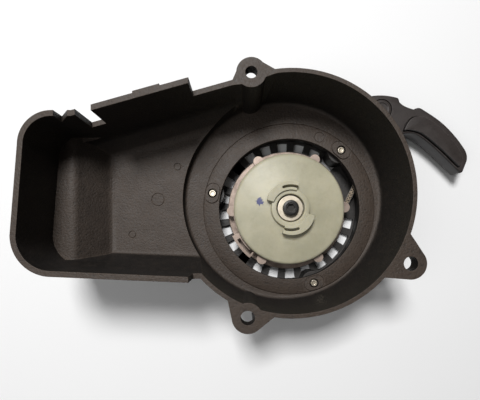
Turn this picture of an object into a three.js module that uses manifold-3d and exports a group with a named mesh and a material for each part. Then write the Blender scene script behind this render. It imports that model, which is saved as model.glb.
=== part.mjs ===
// Recoil starter with fan shroud for a small two-stroke engine, in millimetres, +Z up.
// The origin is on the reel's axis, at the flat outer face of the starter cover, and the open
// (engine) side faces +Z. The air duct runs towards -X and the pull handle lies towards +X +Y.
import * as THREE from 'three';
import { mergeVertices } from 'three/addons/utils/BufferGeometryUtils.js';
import Module from 'manifold-3d';

const wasm = await Module();
wasm.setup();

// ---- driving dimensions -------------------------------------------------------------------
const GAP = 0.3;                 // clearance between pieces that touch on the real object
const WALL = 2.4;                // moulded wall of the shroud
const FLOOR = 2.5;               // moulded floor of the shroud and of the starter cover

// bowl around the fan: a circle set off from the reel's axis, so the air passage widens
const BOWL = { x: -3.4, y: 4.4, r: 53.8, depth: 33, edge: 3 };
const RIM_Z = 48;                // engine-side rim of the bowl
const FLOOR_Z = RIM_Z - BOWL.depth;
const UNDER_Z = FLOOR_Z - FLOOR;

// air duct on the left of the bowl
const DUCT = {
  end: -121.2, top: 36.8, bottom: -31.6, stepX: -48, rimRise: 13, floorRise: 5,
  rampFoot: -94.4, rampHead: -108.7, shelfRise: 18.5, slope: 0.28, topBend: -96,
  cornerTop: 14, cornerBottom: 17, endLean: 3, bottomDrop: 2.4, bowlRun: 18, bowlRise: 0.62,
  topChamfer: { in: 7, up: 8 }, bottomChamfer: { in: 5.6, up: 24 },
};
const DUCT_RIM_Z = RIM_Z + DUCT.rimRise;
const DUCT_FLOOR_Z = FLOOR_Z + DUCT.floorRise;
const SHELF_Z = FLOOR_Z + DUCT.shelfRise;

// notches in the duct's upper rim, for the ignition lead and a stay
const SLOT = { x: -91.2, width: 6.5, depth: 16 };
const VEE = { left: -103.4, right: -97.6, depth: 7 };
const RIM_PAD = { x0: -71, x1: -60, out: 0.8, height: 6 };

// mounting ears: the bearing of each from the bowl's middle, and how far out of its wall it lies
const EAR = { r: 7.2, thick: 6.5, hole: 3.25, toolR: 4.8, spread: 13, wrap: 62, root: 0.3, column: 2 };
const TOP_EAR = earAt(108.6247, 3.5008, 2.75, 6.6);
const LOW_EAR = earAt(-109.563, 5.6307, EAR.hole, EAR.r);
const SIDE_EAR = earAt(-30.6625, 8.1633, EAR.hole, EAR.r);

function earAt(deg, out, hole, r) {
  const bearing = THREE.MathUtils.degToRad(deg);
  const reach = BOWL.r + out;
  return { x: BOWL.x + reach * Math.cos(bearing), y: BOWL.y + reach * Math.sin(bearing), hole, r };
}

// round opening in the bowl's floor and its raised ring
const RING = { inner: 38.3, outer: 46.4, rise: 0.6 };
const PAD = { length: 10.6, width: 7.1, rise: 0.5 };
const PAD_Z = FLOOR_Z + RING.rise + PAD.rise;
const SCREW = {
  r: 2, circle: 42.6, firstDeg: 48.5, count: 3, headR: 3.7, head: 2.6, clear: 0.45, bevel: 0.8, sunk: 0.2,
};
const EJECTOR = { r: 3.5, x: -70.4, y: 4.6, depth: 0.4, line: 0.4 };

// starter cover: a shallow vented cup behind the bowl's floor
const COVER = { r: 40.3, wall: 2, flangeR: 47.5, flange: 2.5, plate: 2.5, edge: 2.5 };
const COVER_TOP = UNDER_Z - GAP;
const VENT = { inner: 33.6, outer: 39.6, pitch: 15, width: 8.9, wide: 13.4 };
const VENT_BLANKS = 3;           // blank divisions where the rope goes out
const POCKET = { r: 4.5, wall: 1.7 };
const BOSS = { r: 7.5, top: 8.8, slotDeep: 2.2, slotHalf: 0.8 };

// rope
const ROPE = { r: 1.4, z: 8, windR: 28.6, bearing: 64.2, clear: 0.9 };
const WINDING_FLAT = 0.5;        // half the flat left on the outside of the wound rope
const EYELET = { r: 3.2, bore: 1.9, lip: 4.1, lipThick: 1, length: 6, flare: 0.4 };
const NOSE = { half: 6, low: 3, start: 30, end: 51.7 };

// reel
const POST = { r: 4, top: 18.2, bore: 2.4, boreFloor: 9 };
const BUSH = { r: 5.3, low: 9.4, top: 18 };
const DRUM = {
  flangeR: 33.6, low: 4.2, flange: 1.4, coreR: 21, core: 2.4, top: 10.6, web: 1.2, hubR: 7.4, hubTop: 12.6,
};
const PLATE = { r: 30.5, low: 10.9, thick: 1.5, lugs: 6, lugCircle: 31.3, lugR: 2.8, lugDeg: 2, bore: 7.7 };
const PLATE_TOP = PLATE.low + PLATE.thick;
const HOOK = {
  deg: 218.5, tab: 13, tabR: 34.4, slotIn: 31.2, slotOut: 33,
  fromDeg: 210.5, toDeg: 230, footDeg: 226, footIn: 30.2,
};
const RIVET = { circle: 14.5, r: 1.5, headR: 2.6, head: 0.32, dome: 0.7, count: 3, firstDeg: 30 };
const MAINSPRING = { inner: 8.2, outer: 18, turns: 7, thick: 0.5, low: 4.6, top: 8.9 };
const BUFFER = { inner: 11.4, outer: 25.5, turns: 2.6, wire: 0.8, z: 13.9 };

// nylon cam disc, washer and screw
const CAM = {
  r: 30.2, low: 12.9, edge: 2.2, skin: 1.7, coneTop: 18.4, hubR: 10.2, hubTop: 21.2,
  seat: 18.4, rim: 3, lip: 1.6, break: 0.6,
};
const ARM = {
  low: 16.4, top: 22.4, deg: 72, sweep: 89, nose: 14.4, nosePart: 0.37, fall: 3.3, root: 0.6,
  slotIn: 10.9, slotOut: 12.3, slotSweep: 41,
};
const WASHER = { r: 7, bore: 2.7, thick: 1.2, clear: 0.4 };
const BOLT = { r: 2.1, headR: 4.2, head: 2.9, socketR: 2.3, socketFloor: 0.8, edge: 0.6, lift: 0.1 };

// handle
const HANDLE = {
  knotX: 51.8, knotY: 55.4, web: 4.6, grip: 6.3, pocketR: 5.7, pocketFloor: -3.4, plug: 1.8,
  ferruleR: 3.1, ferrule: 6, ferruleFrom: 3, ropeBore: 2, neckHalf: 5.6, knotR: 3.4, tailEnd: 4.2,
};

const KNOT_SQUASH = 0.9;        // height of the knot over its width

const ROUND = 48;                // segments of the large circles
const SMALL = 16;                // segments of the small circles
const SPRING_STEPS = 16;         // steps in one turn of a wound spring
const CUT = 1;                   // how far a cutting solid runs past the face it cuts
const BEYOND = 20;               // how far a long cutting bar runs past the part
const DRAFT = 0.5;               // how much wider the bowl is at its rim

// ---- helpers ------------------------------------------------------------------------------
const rad = THREE.MathUtils.degToRad;

function polar(r, deg, x = 0, y = 0) {
  return new THREE.Vector2(x + r * Math.cos(rad(deg)), y + r * Math.sin(rad(deg)));
}

function solid(geometry) {
  geometry.deleteAttribute('normal');
  geometry.deleteAttribute('uv');
  const merged = mergeVertices(geometry, 1e-4);
  return new wasm.Manifold(new wasm.Mesh({
    numProp: 3,
    vertProperties: new Float32Array(merged.attributes.position.array),
    triVerts: new Uint32Array(merged.index.array),
  }));
}

function extrude(shape, low, high, curveSegments = 12) {
  const settings = { depth: high - low, bevelEnabled: false, curveSegments };
  const geometry = new THREE.ExtrudeGeometry(shape, settings);
  return solid(geometry.translate(0, 0, low));
}

function points(pairs) {
  return pairs.map(([x, y]) => new THREE.Vector2(x, y));
}

function polygon(pairs) {
  return new THREE.Shape(points(pairs));
}

function disc(r, low, high, x = 0, y = 0, segments = SMALL) {
  const geometry = new THREE.CylinderGeometry(r, r, high - low, segments);
  geometry.rotateX(Math.PI / 2);
  return solid(geometry.translate(x, y, (low + high) / 2));
}

function turned(profile, segments = SMALL, x = 0, y = 0) {
  const geometry = new THREE.LatheGeometry(points(profile), segments);
  geometry.rotateX(Math.PI / 2);
  return solid(geometry.translate(x, y, 0));
}

function ring(inner, outer, low, high, segments = ROUND, x = 0, y = 0) {
  return turned([[inner, low], [outer, low], [outer, high], [inner, high], [inner, low]], segments, x, y);
}

function box(x0, x1, y0, y1, z0, z1) {
  const geometry = new THREE.BoxGeometry(x1 - x0, y1 - y0, z1 - z0);
  return solid(geometry.translate((x0 + x1) / 2, (y0 + y1) / 2, (z0 + z1) / 2));
}

// A solid whose side view in X-Z is the given outline, running along Y.
function sideProfile(points, y0, y1) {
  const geometry = new THREE.ExtrudeGeometry(polygon(points), { depth: y1 - y0, bevelEnabled: false });
  geometry.rotateX(Math.PI / 2);
  return solid(geometry.translate(0, y1, 0));
}

// A bar with the given cross-section (across, up), laid from one plan point to another.
function barAlong(section, from, to) {
  const run = to.clone().sub(from);
  const geometry = new THREE.ExtrudeGeometry(polygon(section), { depth: run.length(), bevelEnabled: false });
  const along = new THREE.Vector3(run.x, run.y, 0).normalize();
  const up = new THREE.Vector3(0, 0, 1);
  const across = new THREE.Vector3().crossVectors(up, along);
  const frame = new THREE.Matrix4().makeBasis(across, up, along);
  frame.setPosition(from.x, from.y, 0);
  return solid(geometry.applyMatrix4(frame));
}

// A round rod or hole with its own radii along an axis lying in a level plane.
function levelTurned(profile, start, bearing, z) {
  const geometry = new THREE.LatheGeometry(points(profile), SMALL);
  geometry.rotateZ(rad(bearing) - Math.PI / 2);
  return solid(geometry.translate(start.x, start.y, z));
}

function rod(r, from, to, start, bearing, z) {
  return levelTurned([[0, from], [r, from], [r, to], [0, to]], start, bearing, z);
}

function tube(route, r, sides, steps) {
  const curve = new THREE.CatmullRomCurve3(route);
  const section = new THREE.Shape();
  section.absarc(0, 0, r, 0, Math.PI * 2, false);
  const geometry = new THREE.ExtrudeGeometry(section, {
    extrudePath: curve, steps, curveSegments: sides, bevelEnabled: false,
  });
  return solid(geometry);
}

function stadium(cx, cy, length, width, deg) {
  const shape = new THREE.Shape();
  const half = (length - width) / 2;
  const a = polar(half, deg, cx, cy);
  const b = polar(half, deg + 180, cx, cy);
  shape.absarc(a.x, a.y, width / 2, rad(deg - 90), rad(deg + 90), false);
  shape.absarc(b.x, b.y, width / 2, rad(deg + 90), rad(deg + 270), false);
  return shape;
}

function sector(inner, outer, fromDeg, toDeg) {
  const shape = new THREE.Shape();
  shape.absarc(0, 0, outer, rad(fromDeg), rad(toDeg), false);
  shape.absarc(0, 0, inner, rad(toDeg), rad(fromDeg), true);
  return shape;
}

const screwDegs = Array.from({ length: SCREW.count }, (_, i) => SCREW.firstDeg + i * 360 / SCREW.count);

// ---- fan shroud ---------------------------------------------------------------------------
// Plan of the duct, drawn in by the given inset all round.
function ductPlan(inset) {
  const leanAt = (y) => DUCT.endLean * (y - DUCT.bottom) / (DUCT.top - DUCT.bottom);
  const left = DUCT.end + inset;
  const top = DUCT.top - inset;
  const low = DUCT.bottom + inset;
  const topR = DUCT.cornerTop - inset;
  const lowR = DUCT.cornerBottom - inset;
  const riseAt = (x) => top + DUCT.slope * (x - DUCT.topBend);
  const reach = BOWL.x;
  const shape = new THREE.Shape();
  shape.moveTo(reach, riseAt(DUCT.stepX + (reach - DUCT.stepX) * DUCT.bowlRise));
  shape.lineTo(DUCT.stepX + DUCT.bowlRun, riseAt(DUCT.stepX + DUCT.bowlRun));
  shape.lineTo(DUCT.topBend, top);
  shape.lineTo(left + leanAt(top) + topR, top);
  shape.absarc(left + leanAt(top) + topR, top - topR, topR, Math.PI / 2, Math.PI, false);
  shape.lineTo(left, low + lowR);
  shape.absarc(left + lowR, low + lowR, lowR, Math.PI, Math.PI * 1.5, false);
  shape.lineTo(DUCT.stepX, low - DUCT.bottomDrop);
  shape.lineTo(reach, low - DUCT.bottomDrop);
  return shape;
}

// Side view of the duct: its underside (or floor), the ramp, the shelf and the stepped rim.
function ductSide(floor, shelf, shift, top, stepTop) {
  const ramp = [[DUCT.rampFoot + shift, floor], [DUCT.rampHead + shift, shelf]];
  return [
    [BOWL.x, floor], [BOWL.x, stepTop], [DUCT.stepX, stepTop], [DUCT.stepX, top],
    [DUCT.end - WALL, top], [DUCT.end - WALL, shelf], ramp[1], ramp[0],
  ];
}

// The slanting corners between the duct's floor and its two side walls, as bars to take away.
function ductCorners(inset, floor) {
  const section = (chamfer) => [
    [-BEYOND, floor - BEYOND], [chamfer.in, floor - BEYOND], [chamfer.in, floor],
    [0, floor + chamfer.up], [-BEYOND, floor + chamfer.up],
  ];
  const far = DUCT.end - BEYOND;
  const near = BEYOND;
  const bend = DUCT.end + DUCT.cornerBottom;
  const drop = DUCT.bottomDrop / (DUCT.stepX - bend);
  const topAt = (x) => new THREE.Vector2(x, DUCT.top - inset + DUCT.slope * (x - DUCT.topBend));
  const lowAt = (x) => new THREE.Vector2(x, DUCT.bottom + inset - drop * (x - bend));
  const upper = barAlong(section(DUCT.topChamfer), topAt(near), topAt(far));
  return upper.add(barAlong(section(DUCT.bottomChamfer), lowAt(far), lowAt(near)));
}

// A flat ear that runs from the bowl's wall out around its bolt hole.
function earPlate(ear, low, high) {
  const bearing = THREE.MathUtils.radToDeg(Math.atan2(ear.y - BOWL.y, ear.x - BOWL.x));
  const root = BOWL.r + DRAFT + EAR.root;
  const start = polar(root, bearing - EAR.spread, BOWL.x, BOWL.y);
  const flank = polar(ear.r, bearing - EAR.wrap, ear.x, ear.y);
  const finish = polar(root, bearing + EAR.spread, BOWL.x, BOWL.y);
  const shape = new THREE.Shape();
  shape.moveTo(start.x, start.y);
  shape.lineTo(flank.x, flank.y);
  shape.absarc(ear.x, ear.y, ear.r, rad(bearing - EAR.wrap), rad(bearing + EAR.wrap), false);
  shape.lineTo(finish.x, finish.y);
  return extrude(shape, low, high, 8);
}

// Room below an ear for the bolt's head and its driver, open to the outside.
function toolRoom(ear) {
  const bearing = THREE.MathUtils.radToDeg(Math.atan2(ear.y - BOWL.y, ear.x - BOWL.x));
  const far = polar(BEYOND, bearing, ear.x, ear.y);
  const low = UNDER_Z - CUT;
  const high = RIM_Z - EAR.thick;
  const half = EAR.toolR;
  const section = [[-half, low], [half, low], [half, high], [-half, high]];
  const channel = barAlong(section, new THREE.Vector2(ear.x, ear.y), far);
  return disc(EAR.toolR, low, high, ear.x, ear.y).add(channel);
}

function fanShroud() {
  const outerR = BOWL.r + WALL;
  const bowl = turned([
    [0, UNDER_Z], [outerR - BOWL.edge, UNDER_Z], [outerR, UNDER_Z + BOWL.edge], [outerR, RIM_Z], [0, RIM_Z],
  ], ROUND, BOWL.x, BOWL.y);
  const bowlRoom = turned([
    [0, FLOOR_Z], [BOWL.r, FLOOR_Z], [BOWL.r + DRAFT, RIM_Z],
    [BOWL.r + DRAFT, DUCT_RIM_Z + CUT], [0, DUCT_RIM_Z + CUT],
  ], ROUND, BOWL.x, BOWL.y);

  const under = DUCT_FLOOR_Z - FLOOR;
  const side = DUCT.top + BEYOND + BOWL.r;
  const ductHigh = DUCT_RIM_Z + CUT;
  const duct = extrude(ductPlan(0), UNDER_Z, DUCT_RIM_Z, 8)
    .intersect(sideProfile(ductSide(under, SHELF_Z - FLOOR, -CUT, DUCT_RIM_Z, RIM_Z), -side, side))
    .subtract(ductCorners(0, under));
  const ductRoom = extrude(ductPlan(WALL), UNDER_Z, ductHigh, 8)
    .intersect(sideProfile(ductSide(DUCT_FLOOR_Z, SHELF_Z, 0, ductHigh, ductHigh), -side, side))
    .subtract(ductCorners(WALL, DUCT_FLOOR_Z));

  const padY = DUCT.top + DUCT.slope * (RIM_PAD.x0 - DUCT.topBend);
  const padRise = DUCT.slope * (RIM_PAD.x1 - RIM_PAD.x0);
  const rimPad = extrude(polygon([
    [RIM_PAD.x0, padY - CUT], [RIM_PAD.x1, padY + padRise - CUT],
    [RIM_PAD.x1, padY + padRise + RIM_PAD.out], [RIM_PAD.x0, padY + RIM_PAD.out],
  ]), DUCT_RIM_Z - RIM_PAD.height, DUCT_RIM_Z);

  let body = bowl.add(duct).add(rimPad).subtract(bowlRoom).subtract(ductRoom);

  // ears, and the wall that goes round the bolt's room at the upper and lower ones
  for (const ear of [TOP_EAR, LOW_EAR, SIDE_EAR]) {
    const plate = earPlate(ear, RIM_Z - EAR.thick, RIM_Z);
    body = body.add(plate.subtract(bowlRoom).subtract(ductRoom));
  }
  const cheek = earPlate(TOP_EAR, FLOOR_Z, RIM_Z).intersect(bowlRoom);
  body = body.add(cheek.subtract(ductRoom));
  for (const ear of [TOP_EAR, LOW_EAR]) {
    const column = disc(EAR.toolR + EAR.column, UNDER_Z, RIM_Z, ear.x, ear.y);
    body = body.add(column).subtract(toolRoom(ear));
  }
  for (const ear of [TOP_EAR, LOW_EAR, SIDE_EAR]) {
    body = body.subtract(disc(ear.hole, UNDER_Z, RIM_Z + CUT, ear.x, ear.y));
  }

  // notches in the duct's upper rim
  const notchLow = DUCT.top - 3 * WALL;
  const notchHigh = DUCT.top + 3 * WALL;
  const slotLow = DUCT_RIM_Z - SLOT.depth;
  const slotHalf = SLOT.width / 2;
  body = body.subtract(box(SLOT.x - slotHalf, SLOT.x + slotHalf, notchLow, notchHigh, slotLow, ductHigh));
  body = body.subtract(sideProfile([
    [VEE.left, ductHigh], [VEE.left, DUCT_RIM_Z - VEE.depth], [VEE.right, DUCT_RIM_Z], [VEE.right, ductHigh],
  ], notchLow, notchHigh));

  // raised ring with its pads, the opening and the screw holes
  body = body.add(disc(RING.outer, FLOOR_Z - WALL / 2, FLOOR_Z + RING.rise, 0, 0, ROUND));
  for (const deg of screwDegs) {
    const at = polar(SCREW.circle, deg);
    const pad = stadium(at.x, at.y, PAD.length, PAD.width, deg + 90);
    body = body.add(extrude(pad, FLOOR_Z, PAD_Z, 6));
  }
  body = body.subtract(disc(RING.inner, UNDER_Z - CUT, PAD_Z + CUT, 0, 0, ROUND));
  for (const deg of screwDegs) {
    const at = polar(SCREW.circle, deg);
    body = body.subtract(disc(SCREW.r + SCREW.clear, UNDER_Z - CUT, PAD_Z + CUT, at.x, at.y));
  }
  const markLow = DUCT_FLOOR_Z - EJECTOR.depth;
  const markIn = EJECTOR.r - EJECTOR.line;
  return body.subtract(ring(markIn, EJECTOR.r, markLow, DUCT_FLOOR_Z + CUT, SMALL, EJECTOR.x, EJECTOR.y));
}

// ---- starter cover ------------------------------------------------------------------------
// The rope leaves the winding at a tangent and runs straight to the eyelet.
const ropeStart = polar(ROPE.windR, ROPE.bearing - 90);
const ropePoint = (along) => polar(along, ROPE.bearing, ropeStart.x, ropeStart.y);
const eyeletMouth = ropePoint(NOSE.end + EYELET.lipThick);

function starterCover() {
  const outerR = COVER.r + COVER.wall;
  const flangeLow = COVER_TOP - COVER.flange;
  const cup = turned([
    [0, 0], [outerR - COVER.edge, 0], [outerR, COVER.edge], [outerR, flangeLow],
    [COVER.flangeR, flangeLow], [COVER.flangeR, COVER_TOP], [0, COVER_TOP],
  ], ROUND);
  const room = disc(COVER.r, COVER.plate, COVER_TOP + CUT, 0, 0, ROUND);

  // guide that carries the rope out past the bowl's wall
  const guide = barAlong(
    [[-NOSE.half, NOSE.low], [NOSE.half, NOSE.low], [NOSE.half, COVER_TOP], [-NOSE.half, COVER_TOP]],
    ropePoint(NOSE.start), ropePoint(NOSE.end));
  let body = cup.add(guide).subtract(room);

  // pockets for the three screws' heads
  for (const deg of screwDegs) {
    const at = polar(SCREW.circle, deg);
    const post = disc(POCKET.r + POCKET.wall, 0, COVER_TOP, at.x, at.y);
    body = body.add(post.intersect(disc(COVER.flangeR, -CUT, COVER_TOP, 0, 0, ROUND)));
  }
  for (const deg of screwDegs) {
    const at = polar(SCREW.circle, deg);
    body = body.subtract(disc(POCKET.r, -CUT, flangeLow, at.x, at.y));
    body = body.subtract(disc(SCREW.r + SCREW.clear, -CUT, COVER_TOP + CUT, at.x, at.y));
  }

  // vent windows all round but where the rope goes out
  const divisions = 360 / VENT.pitch;
  for (let k = 0; k < divisions - VENT_BLANKS; k += 1) {
    const deg = SCREW.firstDeg + k * VENT.pitch;
    const half = (k === 0 ? VENT.wide : VENT.width) / 2;
    const plan = sector(VENT.inner, VENT.outer, deg - half, deg + half);
    body = body.subtract(extrude(plan, -CUT, COVER.plate + CUT, 2));
  }
  for (const deg of screwDegs) {
    const at = polar(SCREW.circle, deg);
    const shell = ring(POCKET.r, POCKET.r + POCKET.wall, 0, COVER_TOP, SMALL, at.x, at.y);
    body = body.add(shell.intersect(disc(COVER.flangeR, -CUT, COVER_TOP, 0, 0, ROUND)));
  }

  // fixed boss for the post, with a slot for the mainspring's inner end
  const bossLow = COVER.plate - WALL / 2;
  const boss = disc(BOSS.r, bossLow, BOSS.top).subtract(disc(POST.r + GAP, COVER.plate, BOSS.top + CUT));
  const slotIn = BOSS.r - BOSS.slotDeep;
  const slotLow = MAINSPRING.low - GAP;
  body = body.add(boss);
  body = body.subtract(box(slotIn, BOSS.r + CUT, -BOSS.slotHalf, BOSS.slotHalf, slotLow, BOSS.top + CUT));

  // bore for the rope, and the seat of its eyelet
  const boreFrom = NOSE.start - 2 * NOSE.half;
  const seatFrom = NOSE.end - EYELET.length - GAP;
  const outside = NOSE.end + CUT;
  body = body.subtract(rod(ROPE.r + ROPE.clear, boreFrom, outside, ropeStart, ROPE.bearing, ROPE.z));
  return body.subtract(rod(EYELET.r + GAP, seatFrom, outside, ropeStart, ROPE.bearing, ROPE.z));
}

function coverScrew(deg) {
  const at = polar(SCREW.circle, deg);
  const seat = COVER_TOP - COVER.flange - GAP;
  const under = seat - SCREW.head;
  const tip = PAD_Z - SCREW.sunk;
  const bevel = SCREW.bevel;
  return turned([
    [0, under], [SCREW.headR - bevel, under], [SCREW.headR, under + bevel],
    [SCREW.headR, seat], [SCREW.r, seat], [SCREW.r, tip - bevel / 2], [SCREW.r - bevel / 2, tip], [0, tip],
  ], SMALL, at.x, at.y);
}

function ropeEyelet() {
  const low = NOSE.end - EYELET.length;
  const lip = NOSE.end + GAP;
  return levelTurned([
    [EYELET.bore, low], [EYELET.r, low], [EYELET.r, lip], [EYELET.lip, lip],
    [EYELET.lip, lip + EYELET.lipThick], [EYELET.bore + EYELET.flare, lip + EYELET.lipThick],
    [EYELET.bore, lip + EYELET.lipThick - EYELET.flare], [EYELET.bore, low],
  ], ropeStart, ROPE.bearing, ROPE.z);
}

// ---- reel ---------------------------------------------------------------------------------
function centrePost() {
  const bore = disc(POST.bore, POST.boreFloor, POST.top + CUT);
  return disc(POST.r, COVER.plate + GAP, POST.top).subtract(bore);
}

function postBush() {
  return ring(POST.r + GAP, BUSH.r, BUSH.low, BUSH.top, SMALL);
}

function ropeDrum() {
  const coreIn = DRUM.coreR - DRUM.core;
  const webLow = DRUM.top - DRUM.web;
  let body = turned([
    [coreIn, DRUM.low], [DRUM.flangeR, DRUM.low], [DRUM.flangeR, DRUM.low + DRUM.flange],
    [DRUM.coreR, DRUM.low + DRUM.flange], [DRUM.coreR, DRUM.top], [DRUM.hubR, DRUM.top],
    [DRUM.hubR, DRUM.hubTop], [BUSH.r + GAP, DRUM.hubTop], [BUSH.r + GAP, webLow],
    [coreIn, webLow], [coreIn, DRUM.low],
  ], ROUND);
  for (let i = 0; i < RIVET.count; i += 1) {
    const at = polar(RIVET.circle, RIVET.firstDeg + i * 360 / RIVET.count);
    body = body.subtract(disc(RIVET.r + GAP, webLow - CUT, DRUM.top + CUT, at.x, at.y));
  }
  return body;
}

function lugPlate() {
  let body = disc(PLATE.r, PLATE.low, PLATE_TOP, 0, 0, ROUND);
  for (let i = 0; i < PLATE.lugs; i += 1) {
    const at = polar(PLATE.lugCircle, PLATE.lugDeg + i * 360 / PLATE.lugs);
    body = body.add(disc(PLATE.lugR, PLATE.low, PLATE_TOP, at.x, at.y));
  }
  const tab = sector(DRUM.coreR, HOOK.tabR, HOOK.deg - HOOK.tab, HOOK.deg + HOOK.tab);
  const slot = sector(HOOK.slotIn, HOOK.slotOut, HOOK.fromDeg, HOOK.toDeg);
  const foot = sector(HOOK.footIn, HOOK.slotOut, HOOK.footDeg, HOOK.toDeg);
  body = body.add(extrude(tab, PLATE.low, PLATE_TOP, 8));
  body = body.subtract(disc(PLATE.bore, PLATE.low - CUT, PLATE_TOP + CUT));
  body = body.subtract(extrude(slot, PLATE.low - CUT, PLATE_TOP + CUT, 6));
  body = body.subtract(extrude(foot, PLATE.low - CUT, PLATE_TOP + CUT, 4));
  for (let i = 0; i < RIVET.count; i += 1) {
    const at = polar(RIVET.circle, RIVET.firstDeg + i * 360 / RIVET.count);
    body = body.subtract(disc(RIVET.r + GAP, PLATE.low - CUT, PLATE_TOP + CUT, at.x, at.y));
  }
  return body;
}

// A shank through the drum's web and the lug plate, with a thin head over the plate.
function reelRivet(index) {
  const at = polar(RIVET.circle, RIVET.firstDeg + index * 360 / RIVET.count);
  const seat = PLATE_TOP + GAP / 2;
  const low = DRUM.top - DRUM.web;
  return turned([
    [0, low], [RIVET.r, low], [RIVET.r, seat], [RIVET.headR, seat],
    [RIVET.headR - RIVET.dome, seat + RIVET.head], [0, seat + RIVET.head],
  ], SMALL, at.x, at.y);
}

// A flat strip wound on its edge, from the fixed boss out to the drum's skirt.
function mainspring() {
  const steps = MAINSPRING.turns * SPRING_STEPS;
  const grow = MAINSPRING.outer - MAINSPRING.inner;
  const side = (offset) => Array.from({ length: steps + 1 }, (_, i) => (
    polar(MAINSPRING.inner + grow * i / steps + offset, i / steps * MAINSPRING.turns * 360)
  ));
  const half = MAINSPRING.thick / 2;
  const outline = [...side(half), ...side(-half).reverse()];
  return extrude(new THREE.Shape(outline), MAINSPRING.low, MAINSPRING.top);
}

function bufferSpring() {
  const steps = Math.round(BUFFER.turns * SPRING_STEPS);
  const route = Array.from({ length: steps + 1 }, (_, i) => {
    const part = i / steps;
    const r = BUFFER.inner + (BUFFER.outer - BUFFER.inner) * part;
    const at = polar(r, HOOK.deg - (1 - part) * BUFFER.turns * 360);
    return new THREE.Vector3(at.x, at.y, BUFFER.z);
  });
  return tube(route, BUFFER.wire, 5, steps);
}

function ropeWinding() {
  const low = DRUM.low + DRUM.flange + GAP;
  const high = PLATE.low - GAP;
  const inner = DRUM.coreR + GAP;
  const outer = ROPE.windR + ROPE.r;
  const soft = ROPE.r - WINDING_FLAT;
  return turned([
    [inner, low], [outer - soft, low], [outer, low + soft], [outer, high - soft],
    [outer - soft, high], [inner, high], [inner, low],
  ], ROUND);
}

// ---- nylon cam disc -----------------------------------------------------------------------
// One arm: a thick crescent on the hub, with a slot behind its tip and a blunt driving face.
function camArm(startDeg) {
  const steps = 12;
  const parts = Array.from({ length: steps + 1 }, (_, i) => i / steps);
  const outer = parts.map((part) => (
    polar(ARM.nose - ARM.fall * (part - ARM.nosePart) ** 2, startDeg + ARM.sweep * part)
  ));
  const inner = parts.map((part) => polar(CAM.hubR - ARM.root, startDeg + ARM.sweep * part));
  const slot = sector(ARM.slotIn, ARM.slotOut, startDeg - ARM.root, startDeg + ARM.slotSweep);
  return extrude(new THREE.Shape([...outer, ...inner.reverse()]), ARM.low, ARM.top)
    .subtract(extrude(slot, CAM.coneTop, ARM.top + CUT, 8));
}

function camDisc() {
  const edgeTop = CAM.low + CAM.edge;
  const rim = CAM.r - CAM.rim;
  const seatR = WASHER.r + WASHER.clear;
  const shell = turned([
    [BUSH.r + GAP, CAM.low], [CAM.hubR, CAM.low], [CAM.hubR, CAM.coneTop - CAM.skin],
    [rim, edgeTop], [rim, CAM.low], [CAM.r - CAM.break, CAM.low], [CAM.r, CAM.low + CAM.break],
    [CAM.r, edgeTop], [CAM.r - CAM.lip, edgeTop + CAM.break * 2], [CAM.hubR, CAM.coneTop],
    [CAM.hubR, CAM.hubTop], [seatR, CAM.hubTop], [seatR, CAM.seat],
    [BUSH.r + GAP, CAM.seat], [BUSH.r + GAP, CAM.low],
  ], ROUND);
  return shell.add(camArm(ARM.deg)).add(camArm(ARM.deg + 180));
}

function retainingWasher() {
  const low = CAM.seat + GAP;
  return ring(WASHER.bore, WASHER.r, low, low + WASHER.thick, SMALL);
}

function centreBolt() {
  const seat = CAM.seat + GAP + WASHER.thick + BOLT.lift;
  const top = seat + BOLT.head;
  const tip = POST.boreFloor + GAP;
  return turned([
    [0, tip], [BOLT.r, tip], [BOLT.r, seat], [BOLT.headR, seat],
    [BOLT.headR, top - BOLT.edge], [BOLT.headR - BOLT.edge, top], [0, top],
  ]).subtract(disc(BOLT.socketR, seat + BOLT.socketFloor, top + CUT, 0, 0, 6));
}

// ---- rope and handle ----------------------------------------------------------------------
const handleKnot = new THREE.Vector2(HANDLE.knotX, HANDLE.knotY);
const handleReach = handleKnot.distanceTo(eyeletMouth);
const handleRun = handleKnot.clone().sub(eyeletMouth);
const handleBearing = THREE.MathUtils.radToDeg(handleRun.angle());
const handlePoint = (along) => polar(along, handleBearing, eyeletMouth.x, eyeletMouth.y);

function ropeRun() {
  const clearOfCoil = Math.sqrt((ROPE.windR + 2 * ROPE.r + GAP) ** 2 - ROPE.windR ** 2);
  return rod(ROPE.r, clearOfCoil, NOSE.end + EYELET.lipThick - GAP, ropeStart, ROPE.bearing, ROPE.z);
}

function ropeTail() {
  return rod(ROPE.r, ROPE.r, handleReach - HANDLE.tailEnd, eyeletMouth, handleBearing, ROPE.z);
}

function handleOutline() {
  const neck = handlePoint(HANDLE.ferruleFrom);
  const left = polar(HANDLE.neckHalf, handleBearing + 90, neck.x, neck.y);
  const right = polar(HANDLE.neckHalf, handleBearing - 90, neck.x, neck.y);
  const shape = new THREE.Shape();
  shape.moveTo(left.x, left.y);
  shape.lineTo(right.x, right.y);
  shape.splineThru(points([[60.2, 40.4], [67.5, 42.2], [73.5, 40.1], [83.7, 31.7], [94.2, 21.3]]));
  shape.quadraticCurveTo(96.2, 19.2, 97.2, 21.6);
  shape.lineTo(99.2, 26.8);
  shape.quadraticCurveTo(100, 29.8, 98.2, 33.2);
  shape.splineThru(points([[93.8, 39.4], [87.7, 46.1], [81.6, 51.1], [73.9, 56.1]]));
  shape.quadraticCurveTo(72, 57, 69.8, 55.6);
  shape.quadraticCurveTo(63.6, 57.2, 61.8, 59.8);
  shape.quadraticCurveTo(61.6, 61.6, 60.6, 62.1);
  shape.quadraticCurveTo(51.8, 64.6, 43, 62.4);
  shape.quadraticCurveTo(41.4, 61.6, 41.2, 59.8);
  shape.quadraticCurveTo(43.6, 50, left.x, left.y);
  return shape;
}

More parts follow.
